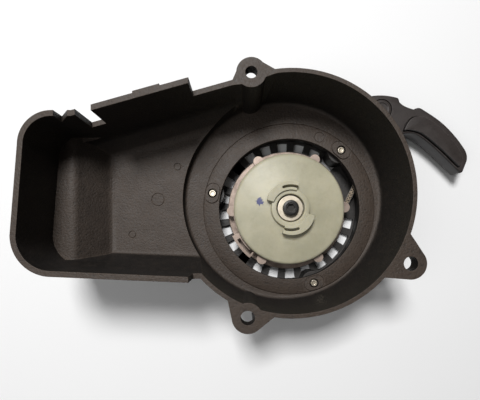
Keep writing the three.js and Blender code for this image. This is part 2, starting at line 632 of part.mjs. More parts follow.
function gripOutline() {
  const shape = new THREE.Shape();
  shape.moveTo(63.6, 43.4);
  shape.splineThru(points([[67.4, 43.6], [73.9, 41.4], [84.2, 33], [93.8, 23.6]]));
  shape.quadraticCurveTo(96.4, 25.6, 95.2, 30.4);
  shape.splineThru(points([[89.6, 38.4], [82, 46], [75.6, 50.2]]));
  shape.quadraticCurveTo(70.4, 52, 67.4, 49.6);
  shape.quadraticCurveTo(64.8, 47, 63.6, 43.4);
  return shape;
}

function pullHandle() {
  const top = ROPE.z + HANDLE.web;
  const seat = HANDLE.ferruleFrom + HANDLE.ferrule + GAP;
  const pocket = disc(HANDLE.pocketR, ROPE.z + HANDLE.pocketFloor, top + CUT, handleKnot.x, handleKnot.y);
  return extrude(handleOutline(), ROPE.z - HANDLE.web, top, 4)
    .add(extrude(gripOutline(), ROPE.z - HANDLE.grip, ROPE.z + HANDLE.grip, 4))
    .subtract(rod(HANDLE.ropeBore, 0, handleReach, eyeletMouth, handleBearing, ROPE.z))
    .subtract(rod(HANDLE.ferruleR + GAP, 0, seat, eyeletMouth, handleBearing, ROPE.z))
    .subtract(pocket);
}

function handleFerrule() {
  const low = HANDLE.ferruleFrom;
  const high = low + HANDLE.ferrule;
  return levelTurned([
    [HANDLE.ropeBore, low], [HANDLE.ferruleR, low], [HANDLE.ferruleR, high],
    [HANDLE.ropeBore, high], [HANDLE.ropeBore, low],
  ], eyeletMouth, handleBearing, ROPE.z);
}

function handlePlug() {
  const top = ROPE.z + HANDLE.web;
  return disc(HANDLE.pocketR - GAP, top - HANDLE.plug, top, handleKnot.x, handleKnot.y);
}

// The stopper knot, as a ball of rope in the handle's pocket.
function ropeKnot() {
  const ball = new THREE.SphereGeometry(HANDLE.knotR, 12, 8);
  ball.scale(1, 1, KNOT_SQUASH);
  return solid(ball.translate(handleKnot.x, handleKnot.y, ROPE.z - GAP));
}

// ---- finishes -----------------------------------------------------------------------------
const FINISH = {
  shroudPlastic: { color: 0x2b2622, roughness: 0.62, metalness: 0 },
  coverPlastic: { color: 0x1c1a19, roughness: 0.5, metalness: 0 },
  nylon: { color: 0xb5b08f, roughness: 0.4, metalness: 0 },
  castAlloy: { color: 0xa69a8e, roughness: 0.45, metalness: 0.8 },
  steel: { color: 0xc9c2b4, roughness: 0.3, metalness: 1 },
  springSteel: { color: 0x5a5d63, roughness: 0.35, metalness: 1 },
  blackSteel: { color: 0x1b1a1a, roughness: 0.4, metalness: 0.8 },
  bronze: { color: 0xa9783f, roughness: 0.4, metalness: 1 },
  rope: { color: 0xa2937c, roughness: 0.9, metalness: 0 },
  handlePlastic: { color: 0x2e2725, roughness: 0.48, metalness: 0 },
};

function mesh(name, body, finish) {
  const data = body.getMesh();
  const geometry = new THREE.BufferGeometry();
  geometry.setAttribute('position', new THREE.BufferAttribute(new Float32Array(data.vertProperties), 3));
  geometry.setIndex(new THREE.BufferAttribute(new Uint32Array(data.triVerts), 1));
  geometry.computeVertexNormals();
  const piece = new THREE.Mesh(geometry, new THREE.MeshStandardMaterial(FINISH[finish]));
  piece.name = name;
  return piece;
}

// ---- assembly -----------------------------------------------------------------------------
const starter = new THREE.Group();

const housing = new THREE.Group();
housing.add(mesh('fan_shroud', fanShroud(), 'shroudPlastic'));
housing.add(mesh('starter_cover', starterCover(), 'coverPlastic'));
screwDegs.forEach((deg, i) => housing.add(mesh(`cover_screw_${i + 1}`, coverScrew(deg), 'steel')));
housing.add(mesh('rope_eyelet', ropeEyelet(), 'steel'));
housing.add(mesh('centre_post', centrePost(), 'steel'));
housing.add(mesh('retaining_washer', retainingWasher(), 'steel'));
housing.add(mesh('centre_bolt', centreBolt(), 'blackSteel'));
housing.add(mesh('mainspring', mainspring(), 'springSteel'));
housing.add(mesh('rope_run', ropeRun(), 'rope'));
starter.add(housing);

const reel = new THREE.Group();
reel.add(mesh('rope_drum', ropeDrum(), 'castAlloy'));
reel.add(mesh('lug_plate', lugPlate(), 'castAlloy'));
for (let i = 0; i < RIVET.count; i += 1) {
  reel.add(mesh(`reel_rivet_${i + 1}`, reelRivet(i), 'steel'));
}
reel.add(mesh('post_bush', postBush(), 'bronze'));
reel.add(mesh('buffer_spring', bufferSpring(), 'springSteel'));
reel.add(mesh('rope_winding', ropeWinding(), 'rope'));
starter.add(reel);

const cam = new THREE.Group();
cam.add(mesh('cam_disc', camDisc(), 'nylon'));
starter.add(cam);

const handle = new THREE.Group();
handle.add(mesh('pull_handle', pullHandle(), 'handlePlastic'));
handle.add(mesh('handle_plug', handlePlug(), 'handlePlastic'));
handle.add(mesh('handle_ferrule', handleFerrule(), 'steel'));
handle.add(mesh('handle_knot', ropeKnot(), 'rope'));
handle.add(mesh('rope_tail', ropeTail(), 'rope'));
starter.add(handle);

export default starter;
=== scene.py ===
"""Recoil starter with a fan shroud: the visual model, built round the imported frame.

Sizes are in millimetres and are turned into metres when a mesh is made. The origin is on the
reel's axis at the flat outer face of the starter cover, and the open engine side faces +Z.
"""

from __future__ import annotations

import logging
import math
from dataclasses import dataclass
from enum import Enum
from typing import Callable, Sequence

import bmesh
import bpy
from mathutils import Matrix, Vector

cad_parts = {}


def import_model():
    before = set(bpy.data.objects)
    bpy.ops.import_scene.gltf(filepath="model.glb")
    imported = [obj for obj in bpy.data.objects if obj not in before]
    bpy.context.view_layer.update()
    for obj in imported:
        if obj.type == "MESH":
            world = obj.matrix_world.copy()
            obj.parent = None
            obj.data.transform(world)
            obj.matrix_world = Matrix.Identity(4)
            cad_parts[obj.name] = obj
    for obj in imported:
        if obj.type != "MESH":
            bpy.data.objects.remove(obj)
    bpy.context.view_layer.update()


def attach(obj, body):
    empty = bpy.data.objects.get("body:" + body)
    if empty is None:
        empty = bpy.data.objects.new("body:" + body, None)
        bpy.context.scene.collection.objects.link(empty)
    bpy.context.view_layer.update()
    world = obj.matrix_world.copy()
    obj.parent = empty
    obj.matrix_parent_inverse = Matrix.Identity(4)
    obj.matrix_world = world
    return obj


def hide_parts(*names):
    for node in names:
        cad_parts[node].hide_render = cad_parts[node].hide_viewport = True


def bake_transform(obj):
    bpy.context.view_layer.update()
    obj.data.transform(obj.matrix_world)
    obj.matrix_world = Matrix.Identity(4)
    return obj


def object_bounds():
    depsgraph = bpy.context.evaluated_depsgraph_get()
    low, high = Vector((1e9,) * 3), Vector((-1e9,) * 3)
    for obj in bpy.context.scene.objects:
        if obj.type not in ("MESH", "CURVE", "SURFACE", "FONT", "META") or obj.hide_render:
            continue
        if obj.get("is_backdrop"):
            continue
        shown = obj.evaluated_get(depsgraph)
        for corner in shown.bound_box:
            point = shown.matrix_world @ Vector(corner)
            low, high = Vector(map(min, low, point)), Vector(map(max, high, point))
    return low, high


LOG = logging.getLogger("starter")
MM = 0.001
FINE = 192          # segments of the large circles
MEDIUM = 96         # segments of middling circles
SMALL = 48          # segments of screws and bosses
CUT = 1.0           # how far a cutting solid runs past the face it cuts
BEYOND = 20.0       # how far a long cutting bar runs past the part
GAP = 0.3           # clearance between neighbouring pieces
WELD = 0.00001      # points closer than this, in metres, become one
CREASE = 38.0       # degrees from which an edge stays a crease
SHARP = 50.0        # degrees from which an edge is rounded by soften
CORNER = 0.0001     # rounding of corners that stay sharp
SCREW_CIRCLE = 42.6
SCREW_DEGREES = (48.5, 168.5, 288.5)

Pair = tuple[float, float]
Place = tuple[float, float, float]


class Body(Enum):
    """The four bodies that the pieces ride on."""

    HOUSING = "housing"
    REEL = "reel"
    CAM = "cam"
    HANDLE = "handle"


# ---- plane geometry -------------------------------------------------------------------------


def polar(radius: float, degrees: float, centre: Pair = (0.0, 0.0)) -> Pair:
    """Gives the point at a radius and an angle from a centre."""
    angle = math.radians(degrees)
    return (centre[0] + radius * math.cos(angle), centre[1] + radius * math.sin(angle))


def arc(centre: Pair, radius: float, start: float, end: float, steps: int = 12) -> list[Pair]:
    """Gives the points of a circular arc.

    Args:
        centre: Middle of the circle.
        radius: Its radius.
        start: First angle, in degrees.
        end: Last angle, in degrees.
        steps: Number of equal parts.

    Returns:
        The points from start to end, both included.
    """
    return [polar(radius, start + (end - start) * i / steps, centre) for i in range(steps + 1)]


def spline(points: Sequence[Pair], steps: int = 10) -> list[Pair]:
    """Gives a smooth curve through the points, by the Catmull-Rom rule.

    Args:
        points: The points that the curve passes through.
        steps: Parts between two neighbouring points.

    Returns:
        The curve's points, both ends included.
    """
    ends = [points[0], *points, points[-1]]
    curve: list[Pair] = []
    for a, b, c, d in zip(ends, ends[1:], ends[2:], ends[3:]):
        for i in range(steps):
            t = i / steps
            curve.append(tuple(
                0.5 * (2 * b[k] + (c[k] - a[k]) * t + (2 * a[k] - 5 * b[k] + 4 * c[k] - d[k]) * t * t
                       + (3 * b[k] - a[k] - 3 * c[k] + d[k]) * t ** 3) for k in (0, 1)))
    return [*curve, points[-1]]


def rounded(points: Sequence[Pair], radius: float, steps: int = 5) -> list[Pair]:
    """Rounds every corner of a closed outline.

    Args:
        points: The outline's corners.
        radius: Largest distance along each side that a corner's rounding takes.
        steps: Parts in each rounding.

    Returns:
        The outline with its corners rounded.
    """
    result: list[Pair] = []
    count = len(points)
    for i in range(count):
        corner = Vector(points[i])
        before = Vector(points[i - 1]) - corner
        after = Vector(points[(i + 1) % count]) - corner
        reach = min(radius, before.length * 0.45, after.length * 0.45)
        start = corner + before.normalized() * reach
        end = corner + after.normalized() * reach
        for k in range(steps + 1):
            t = k / steps
            point = start.lerp(corner, t).lerp(corner.lerp(end, t), t)
            result.append((point.x, point.y))
    return result


# ---- solids ---------------------------------------------------------------------------------


class Solid:
    """A closed body in millimetres that can be joined with, cut by or limited to another."""

    def __init__(self, mesh: bmesh.types.BMesh) -> None:
        """Takes over a bmesh and stores it in a scratch object.

        Args:
            mesh: The closed mesh, in millimetres. It is freed here.
        """
        bmesh.ops.recalc_face_normals(mesh, faces=mesh.faces)
        data = bpy.data.meshes.new("scratch")
        mesh.to_mesh(data)
        mesh.free()
        self.obj = bpy.data.objects.new("scratch", data)
        bpy.context.scene.collection.objects.link(self.obj)

    def _combine(self, other: Solid, operation: str) -> Solid:
        """Runs one boolean operation with another solid, which is used up.

        Args:
            other: The second solid.
            operation: UNION, DIFFERENCE or INTERSECT.

        Returns:
            This solid, changed.
        """
        step = self.obj.modifiers.new("combine", "BOOLEAN")
        step.operation = operation
        step.object = other.obj
        step.solver = "MANIFOLD"
        graph = bpy.context.evaluated_depsgraph_get()
        data = bpy.data.meshes.new_from_object(self.obj.evaluated_get(graph))
        self.obj.modifiers.clear()
        old = self.obj.data
        self.obj.data = data
        bpy.data.meshes.remove(old)
        bpy.data.objects.remove(other.obj)
        return self

    def join(self, other: Solid) -> Solid:
        """Adds another solid."""
        return self._combine(other, "UNION")

    def cut(self, other: Solid) -> Solid:
        """Takes another solid away."""
        return self._combine(other, "DIFFERENCE")

    def keep(self, other: Solid) -> Solid:
        """Keeps only what lies inside another solid."""
        return self._combine(other, "INTERSECT")

    def moved(self, matrix: Matrix) -> Solid:
        """Moves the solid by a matrix in millimetres."""
        self.obj.data.transform(matrix)
        return self

    def piece(self, name: str, crease: float = CREASE) -> bpy.types.Object:
        """Turns the solid into a finished piece in metres.

        Args:
            name: The piece's name.
            crease: Angle, in degrees, from which an edge stays a crease.

        Returns:
            The Blender object, smooth-shaded up to its creases.
        """
        obj = self.obj
        obj.data.transform(Matrix.Scale(MM, 4))
        tidy = bmesh.new()
        tidy.from_mesh(obj.data)
        bmesh.ops.remove_doubles(tidy, verts=tidy.verts, dist=WELD)
        bmesh.ops.dissolve_degenerate(tidy, edges=tidy.edges, dist=WELD)
        tidy.to_mesh(obj.data)
        tidy.free()
        obj.name = name
        obj.data.name = name
        smooth_by_angle(obj, crease)
        return obj


def smooth_by_angle(obj: bpy.types.Object, degrees: float) -> None:
    """Shades an object smooth, with a crease at every edge sharper than an angle.

    Args:
        obj: The object.
        degrees: The angle.
    """
    mesh = bmesh.new()
    mesh.from_mesh(obj.data)
    for face in mesh.faces:
        face.smooth = True
    limit = math.radians(degrees)
    for edge in mesh.edges:
        edge.smooth = not (len(edge.link_faces) == 2 and edge.calc_face_angle(0.0) > limit)
    mesh.to_mesh(obj.data)
    mesh.free()


def revolve(profile: Sequence[Pair], segments: int = SMALL, centre: Pair = (0.0, 0.0)) -> Solid:
    """Turns a profile of (radius, height) points round the Z axis.

    Args:
        profile: The points in order. A point of radius 0 becomes a pole, and a profile that
            doesn't start and end on the axis is closed on itself.
        segments: Parts in one turn.
        centre: Where the axis stands.

    Returns:
        The closed solid.
    """
    mesh = bmesh.new()
    rings: list[list[bmesh.types.BMVert]] = []
    for radius, height in profile:
        if radius < 1e-6:
            rings.append([mesh.verts.new((centre[0], centre[1], height))])
        else:
            rings.append([mesh.verts.new((*polar(radius, 360 * i / segments, centre), height))
                          for i in range(segments)])
    pairs = list(zip(rings, rings[1:]))
    if len(rings[0]) > 1:
        pairs.append((rings[-1], rings[0]))
    for low, high in pairs:
        for i in range(segments):
            j = (i + 1) % segments
            corners = [low[i % len(low)], low[j % len(low)], high[j % len(high)], high[i % len(high)]]
            unique = list(dict.fromkeys(corners))
            if len(unique) > 2:
                mesh.faces.new(unique)
    return Solid(mesh)


def prism(outline: Sequence[Pair], low: float, high: float) -> Solid:
    """Raises a closed outline from one height to another."""
    mesh = bmesh.new()
    bottom = [mesh.verts.new((x, y, low)) for x, y in outline]
    top = [mesh.verts.new((x, y, high)) for x, y in outline]
    mesh.faces.new(bottom[::-1])
    mesh.faces.new(top)
    for i in range(len(outline)):
        j = (i + 1) % len(outline)
        mesh.faces.new((bottom[i], bottom[j], top[j], top[i]))
    return Solid(mesh)


def disc(radius: float, low: float, high: float, centre: Pair = (0.0, 0.0), segments: int = SMALL) -> Solid:
    """Makes a plain round disc or hole."""
    return prism(arc(centre, radius, 0, 360 - 360 / segments, segments - 1), low, high)


def block(x: Pair, y: Pair, z: Pair) -> Solid:
    """Makes a box from its three ranges."""
    return prism([(x[0], y[0]), (x[1], y[0]), (x[1], y[1]), (x[0], y[1])], z[0], z[1])


def tube_ring(inner: float, outer: float, low: float, high: float, segments: int = SMALL,
              centre: Pair = (0.0, 0.0)) -> Solid:
    """Makes a plain ring."""
    return revolve([(inner, low), (outer, low), (outer, high), (inner, high)], segments, centre)


def side_prism(outline: Sequence[Pair], low: float, high: float) -> Solid:
    """Makes a solid whose side view in X-Z is the outline and that runs along Y."""
    turn = Matrix.Rotation(math.radians(90), 4, "X")
    return prism(outline, -high, -low).moved(turn)


def bar(section: Sequence[Pair], start: Pair, end: Pair) -> Solid:
    """Lays a bar of constant section from one plan point to another.

    Args:
        section: Points (across, up), across being to the left of the run.
        start: Where the bar starts.
        end: Where it ends.

    Returns:
        The closed solid.
    """
    run = Vector((end[0] - start[0], end[1] - start[1], 0.0))
    along = run.normalized()
    up = Vector((0.0, 0.0, 1.0))
    across = up.cross(along)
    matrix = Matrix((across, up, along)).transposed().to_4x4()
    matrix.translation = (start[0], start[1], 0.0)
    return prism(section, 0.0, run.length).moved(matrix)


def level_turned(profile: Sequence[Pair], start: Pair, bearing: float, height: float,
                 segments: int = SMALL) -> Solid:
    """Turns a profile of (radius, distance) points about a level axis.

    Args:
        profile: The points, as for revolve.
        start: Plan point where the distance is 0.
        bearing: Direction of the axis in plan, in degrees.
        height: Height of the axis.
        segments: Parts in one turn.

    Returns:
        The closed solid.
    """
    lay = Matrix.Rotation(math.radians(90), 4, "Y")
    turn = Matrix.Rotation(math.radians(bearing), 4, "Z")
    place = Matrix.Translation((start[0], start[1], height))
    return revolve(profile, segments).moved(place @ turn @ lay)


def level_rod(radius: float, near: float, far: float, start: Pair, bearing: float, height: float) -> Solid:
    """Makes a plain round rod or hole along a level axis."""
    return level_turned([(0, near), (radius, near), (radius, far), (0, far)], start, bearing, height)


def stadium(centre: Pair, length: float, width: float, degrees: float) -> list[Pair]:
    """Gives the outline of a slot with round ends."""
    half = (length - width) / 2
    first = polar(half, degrees, centre)
    second = polar(half, degrees + 180, centre)
    return [*arc(first, width / 2, degrees - 90, degrees + 90),
            *arc(second, width / 2, degrees + 90, degrees + 270)]


def sector(inner: float, outer: float, start: float, end: float, steps: int = 10) -> list[Pair]:
    """Gives the outline of a part of a ring."""
    return [*arc((0, 0), outer, start, end, steps), *arc((0, 0), inner, end, start, steps)]


# ---- shader groups --------------------------------------------------------------------------


class Graph:
    """A node tree with short ways to add nodes and join sockets."""

    def __init__(self, tree: bpy.types.NodeTree) -> None:
        """Takes the tree to work on."""
        self.tree = tree

    def add(self, kind: str, **values: object) -> bpy.types.Node:
        """Adds a node.

        Args:
            kind: The node's Blender type.
            **values: Properties to set on it.

        Returns:
            The node.
        """
        node = self.tree.nodes.new(kind)
        for name, value in values.items():
            setattr(node, name, value)
        return node

    def feed(self, socket: bpy.types.NodeSocket, value: object) -> None:
        """Joins an output to a socket, or sets the socket's own value."""
        if isinstance(value, bpy.types.NodeSocket):
            self.tree.links.new(value, socket)
        elif value is not None:
            socket.default_value = value

    def math(self, operation: str, first: object, second: object = None,
             clamp: bool = False) -> bpy.types.NodeSocket:
        """Adds a Math node and gives its output."""
        node = self.add("ShaderNodeMath", operation=operation, use_clamp=clamp)
        self.feed(node.inputs[0], first)
        self.feed(node.inputs[1], second)
        return node.outputs[0]

    def times(self, first: object, second: object, clamp: bool = False) -> bpy.types.NodeSocket:
        """Multiplies two values."""
        return self.math("MULTIPLY", first, second, clamp)

    def plus(self, first: object, second: object) -> bpy.types.NodeSocket:
        """Adds two values."""
        return self.math("ADD", first, second)

    def swing(self, value: object, amount: float) -> bpy.types.NodeSocket:
        """Turns a value round one half into one round zero, and scales it."""
        return self.times(self.math("SUBTRACT", value, 0.5), amount)

    def hypot(self, first: object, second: object) -> bpy.types.NodeSocket:
        """Gives the length whose two sides at right angles are the values."""
        return self.math("SQRT", self.plus(self.times(first, first), self.times(second, second)))

    def split(self, vector: object) -> bpy.types.bpy_prop_collection:
        """Splits a vector and gives the outputs X, Y and Z."""
        node = self.add("ShaderNodeSeparateXYZ")
        self.feed(node.inputs[0], vector)
        return node.outputs

    def here(self) -> bpy.types.NodeSocket:
        """Gives the place in the object's own coordinates."""
        return self.add("ShaderNodeTexCoord").outputs["Object"]

    def span(self, value: object, low: float, high: float, to_low: float = 0.0,
             to_high: float = 1.0) -> bpy.types.NodeSocket:
        """Maps a value from one range to another, smoothly and held at both ends."""
        node = self.add("ShaderNodeMapRange", interpolation_type="SMOOTHSTEP")
        for index, item in enumerate((value, low, high, to_low, to_high)):
            self.feed(node.inputs[index], item)
        return node.outputs[0]

    def mix(self, factor: object, first: object, second: object) -> bpy.types.NodeSocket:
        """Mixes two colours and gives the result."""
        node = self.add("ShaderNodeMix", data_type="RGBA")
        self.feed(node.inputs[0], factor)
        self.feed(node.inputs[6], first)
        self.feed(node.inputs[7], second)
        return node.outputs[2]

    def noise(self, scale: object, detail: float = 4.0, roughness: float = 0.55,
              vector: object = None) -> bpy.types.NodeSocket:
        """Adds a noise texture in the object's own coordinates and gives its value."""
        node = self.add("ShaderNodeTexNoise")
        self.feed(node.inputs["Vector"], self.here() if vector is None else vector)
        self.feed(node.inputs["Scale"], scale)
        node.inputs["Detail"].default_value = detail
        node.inputs["Roughness"].default_value = roughness
        return node.outputs["Fac"]


def new_group(name: str, inputs: Sequence[tuple[str, str, object]],
              outputs: Sequence[tuple[str, str]]) -> tuple[Graph, bpy.types.Node, bpy.types.Node]:
    """Starts a shader node group.

    Args:
        name: The group's name.
        inputs: Name, socket type and default value of each input.
        outputs: Name and socket type of each output.

    Returns:
        The group's graph, its input node and its output node.
    """
    tree = bpy.data.node_groups.new(name, "ShaderNodeTree")
    for label, kind, value in inputs:
        socket = tree.interface.new_socket(name=label, in_out="INPUT", socket_type=kind)
        if value is not None:
            socket.default_value = value
    for label, kind in outputs:
        tree.interface.new_socket(name=label, in_out="OUTPUT", socket_type=kind)
    graph = Graph(tree)
    return graph, graph.add("NodeGroupInput"), graph.add("NodeGroupOutput")


FLOAT = "NodeSocketFloat"
COLOUR = "NodeSocketColor"


def build_moulded_grain() -> bpy.types.NodeTree:
    """Builds the grain of spark-eroded mould steel: fine pimples over a slow waviness."""
    graph, given, made = new_group(
        "moulded_grain", [("Scale", FLOAT, 1500.0), ("Waviness", FLOAT, 0.3)],
        [("Height", FLOAT), ("Pits", FLOAT)])
    fine = graph.noise(given.outputs["Scale"], 3.0, 0.6)
    coarse = graph.noise(graph.times(given.outputs["Scale"], 0.12), 3.0, 0.5)
    wave = graph.times(coarse, given.outputs["Waviness"])
    graph.feed(made.inputs["Height"], graph.plus(fine, wave))
    graph.feed(made.inputs["Pits"], graph.span(fine, 0.3, 0.48, 1.0, 0.0))
    return graph.tree


def build_edge_wear() -> bpy.types.NodeTree:
    """Builds a mask of rubbed edges, broken up by noise."""
    graph, given, made = new_group(
        "edge_wear", [("Radius", FLOAT, 0.0006), ("Amount", FLOAT, 1.0)], [("Mask", FLOAT)])
    bevel = graph.add("ShaderNodeBevel", samples=4)
    graph.feed(bevel.inputs["Radius"], given.outputs["Radius"])
    face = graph.add("ShaderNodeNewGeometry").outputs["Normal"]
    dot = graph.add("ShaderNodeVectorMath", operation="DOT_PRODUCT")
    graph.feed(dot.inputs[0], bevel.outputs[0])
    graph.feed(dot.inputs[1], face)
    edge = graph.span(dot.outputs["Value"], 0.995, 0.88)
    broken = graph.span(graph.noise(420.0, 4.0, 0.65), 0.34, 0.6)
    mask = graph.times(edge, broken)
    graph.feed(made.inputs["Mask"], graph.times(mask, given.outputs["Amount"], clamp=True))
    return graph.tree


def build_dust_and_shade() -> bpy.types.NodeTree:
    """Builds a mask that is strong in corners and recesses, found by ambient occlusion, and broken by a cloud
    of noise. On the plastics it lays a dusty tone; on the nylon and the metals it is painted shade with some
    dirt.
    """
    graph, given, made = new_group(
        "dust_and_shade", [("Reach", FLOAT, 0.004), ("Amount", FLOAT, 0.5)], [("Mask", FLOAT)])
    shade = graph.add("ShaderNodeAmbientOcclusion", samples=4)
    graph.feed(shade.inputs["Distance"], given.outputs["Reach"])
    corner = graph.span(shade.outputs["AO"], 0.95, 0.45)
    cloud = graph.span(graph.noise(260.0, 5.0, 0.65), 0.38, 0.68)
    both = graph.math("MAXIMUM", graph.times(corner, 0.8), graph.times(cloud, 0.3))
    mask = graph.times(both, graph.plus(cloud, 0.25))
    graph.feed(made.inputs["Mask"], graph.times(mask, given.outputs["Amount"], clamp=True))
    return graph.tree


def build_colour_drift() -> bpy.types.NodeTree:
    """Builds slow changes of shade over a surface."""
    graph, given, made = new_group(
        "colour_drift", [("Colour", COLOUR, None), ("Second", COLOUR, None), ("Scale", FLOAT, 40.0)],
        [("Colour", COLOUR)])
    slow = graph.span(graph.noise(given.outputs["Scale"], 5.0, 0.6), 0.3, 0.7)
    graph.feed(made.inputs["Colour"], graph.mix(slow, given.outputs["Colour"], given.outputs["Second"]))
    return graph.tree


def build_turning_marks() -> bpy.types.NodeTree:
    """Builds fine marks that run round the reel's axis, as on rolled and turned metal."""
    graph, given, made = new_group(
        "turning_marks", [("Fineness", FLOAT, 9000.0), ("Scratches", FLOAT, 0.5)], [("Height", FLOAT)])
    split = graph.split(graph.here())
    radius = graph.hypot(split["X"], split["Y"])
    join = graph.add("ShaderNodeCombineXYZ")
    graph.feed(join.inputs[0], graph.times(radius, given.outputs["Fineness"]))
    rings = graph.noise(1.0, 2.0, 0.5, join.outputs[0])
    scratch = graph.times(graph.noise(900.0, 4.0, 0.7), given.outputs["Scratches"])
    graph.feed(made.inputs["Height"], graph.plus(rings, scratch))
    return graph.tree


class Effects:
    """The shared shader groups, each built the first time it is placed."""

    makers: dict[str, Callable[[], bpy.types.NodeTree]] = {
        "moulded_grain": build_moulded_grain,
        "edge_wear": build_edge_wear,
        "dust_and_shade": build_dust_and_shade,
        "colour_drift": build_colour_drift,
        "turning_marks": build_turning_marks,
    }

    @classmethod
    def place(cls, graph: Graph, name: str, **values: object) -> bpy.types.Node:
        """Places a shared effect in a material.

        Args:
            graph: The material's graph.
            name: The effect.
            **values: Its inputs.

        Returns:
            The group node.
        """
        node = graph.add("ShaderNodeGroup")
        node.node_tree = bpy.data.node_groups.get(name) or cls.makers[name]()
        for label, value in values.items():
            graph.feed(node.inputs[label], value)
        return node


# ---- finishes -------------------------------------------------------------------------------

Tone = tuple[float, float, float]


def tone(colour: Tone) -> tuple[float, float, float, float]:
    """Adds full alpha to a colour."""
    return (*colour, 1.0)


@dataclass(frozen=True)
class Finish:
    """What every finish has: a name and a base material to dress."""

    name: str

    @property
    def label(self) -> str:
        """The material's own name, apart from the frame's materials."""
        return f"{self.name}_surface"

    def start(self) -> tuple[bpy.types.Material, Graph, bpy.types.Node]:
        """Makes an empty material with a Principled BSDF."""
        material = bpy.data.materials.new(self.label)
        material.use_nodes = True
        graph = Graph(material.node_tree)
        shader = material.node_tree.nodes["Principled BSDF"]
        return material, graph, shader

    def drift(self, graph: Graph, first: Tone, second: Tone, scale: float) -> bpy.types.NodeSocket:
        """Gives a colour that drifts slowly between two tones."""
        node = Effects.place(graph, "colour_drift", Colour=tone(first), Second=tone(second), Scale=scale)
        return node.outputs["Colour"]

    def bump(self, graph: Graph, height: object, strength: float, distance: float,
             round_edges: float = 0.0) -> bpy.types.NodeSocket:
        """Makes a bumped normal.

        Args:
            graph: The material's graph.
            height: The height to use.
            strength: How much of it shows.
            distance: Its depth, in metres.
            round_edges: Radius by which sharp edges catch the light, in metres.

        Returns:
            The normal.
        """
        node = graph.add("ShaderNodeBump")
        node.inputs["Strength"].default_value = strength
        node.inputs["Distance"].default_value = distance
        graph.feed(node.inputs["Height"], height)
        if round_edges > 0:
            bevel = graph.add("ShaderNodeBevel", samples=4)
            bevel.inputs["Radius"].default_value = round_edges
            graph.feed(node.inputs["Normal"], bevel.outputs[0])
        return node.outputs[0]

    def material(self) -> bpy.types.Material:
        """Gives the material, building it the first time."""
        return bpy.data.materials.get(self.label) or self.build()

    def build(self) -> bpy.types.Material:
        """Builds the material. Each kind of finish has its own."""
        raise NotImplementedError


@dataclass(frozen=True)
class MouldedPlastic(Finish):
    """Grained, dark moulded plastic with rubbed edges, dusty corners and painted light on its upward faces.
    """

    colour: Tone = (0.02, 0.016, 0.013)
    second: Tone = (0.03, 0.024, 0.02)
    worn: Tone = (0.09, 0.07, 0.058)
    dusty: Tone = (0.1, 0.082, 0.066)
    roughness: float = 0.5
    painted_top_light: Tone = (0.06, 0.048, 0.04)
    grain: float = 1300.0
    depth: float = 0.00016
    dust_and_shade: float = 0.5
    wear: float = 0.6
    top_light_strength: float = 0.85

    def build(self) -> bpy.types.Material:
        """Builds the plastic."""
        material, graph, shader = self.start()
        drift = self.drift(graph, self.colour, self.second, 45.0)
        grain = Effects.place(graph, "moulded_grain", Scale=self.grain, Waviness=0.5)
        wear = Effects.place(graph, "edge_wear", Radius=0.0007, Amount=self.wear).outputs["Mask"]
        dust_and_shade = Effects.place(graph, "dust_and_shade", Reach=0.005, Amount=self.dust_and_shade).outputs["Mask"]
        # Faces that look up get a lighter tone: painted light falling from above, broken by a cloud of noise.
        facing = graph.split(graph.add("ShaderNodeNewGeometry").outputs["Normal"])
        level = graph.span(facing["Z"], 0.45, 0.97, 0.0, self.top_light_strength)
        cloud = graph.span(graph.noise(150.0, 4.0, 0.6), 0.3, 0.7, 0.8, 1.0)
        top_lit = graph.mix(graph.times(level, cloud), drift, tone(self.painted_top_light))
        base = graph.mix(graph.times(grain.outputs["Pits"], 0.6), top_lit, tone(self.colour))
        rubbed = graph.mix(wear, base, tone(self.worn))
        graph.feed(shader.inputs["Base Color"], graph.mix(dust_and_shade, rubbed, tone(self.dusty)))
        rough = graph.span(grain.outputs["Height"], 0.2, 0.9, self.roughness - 0.08, self.roughness + 0.1)
        graph.feed(shader.inputs["Roughness"], graph.plus(rough, graph.times(dust_and_shade, 0.3)))
        normal = self.bump(graph, grain.outputs["Height"], 0.7, self.depth, 0.0004)
        graph.feed(shader.inputs["Normal"], normal)
        return material


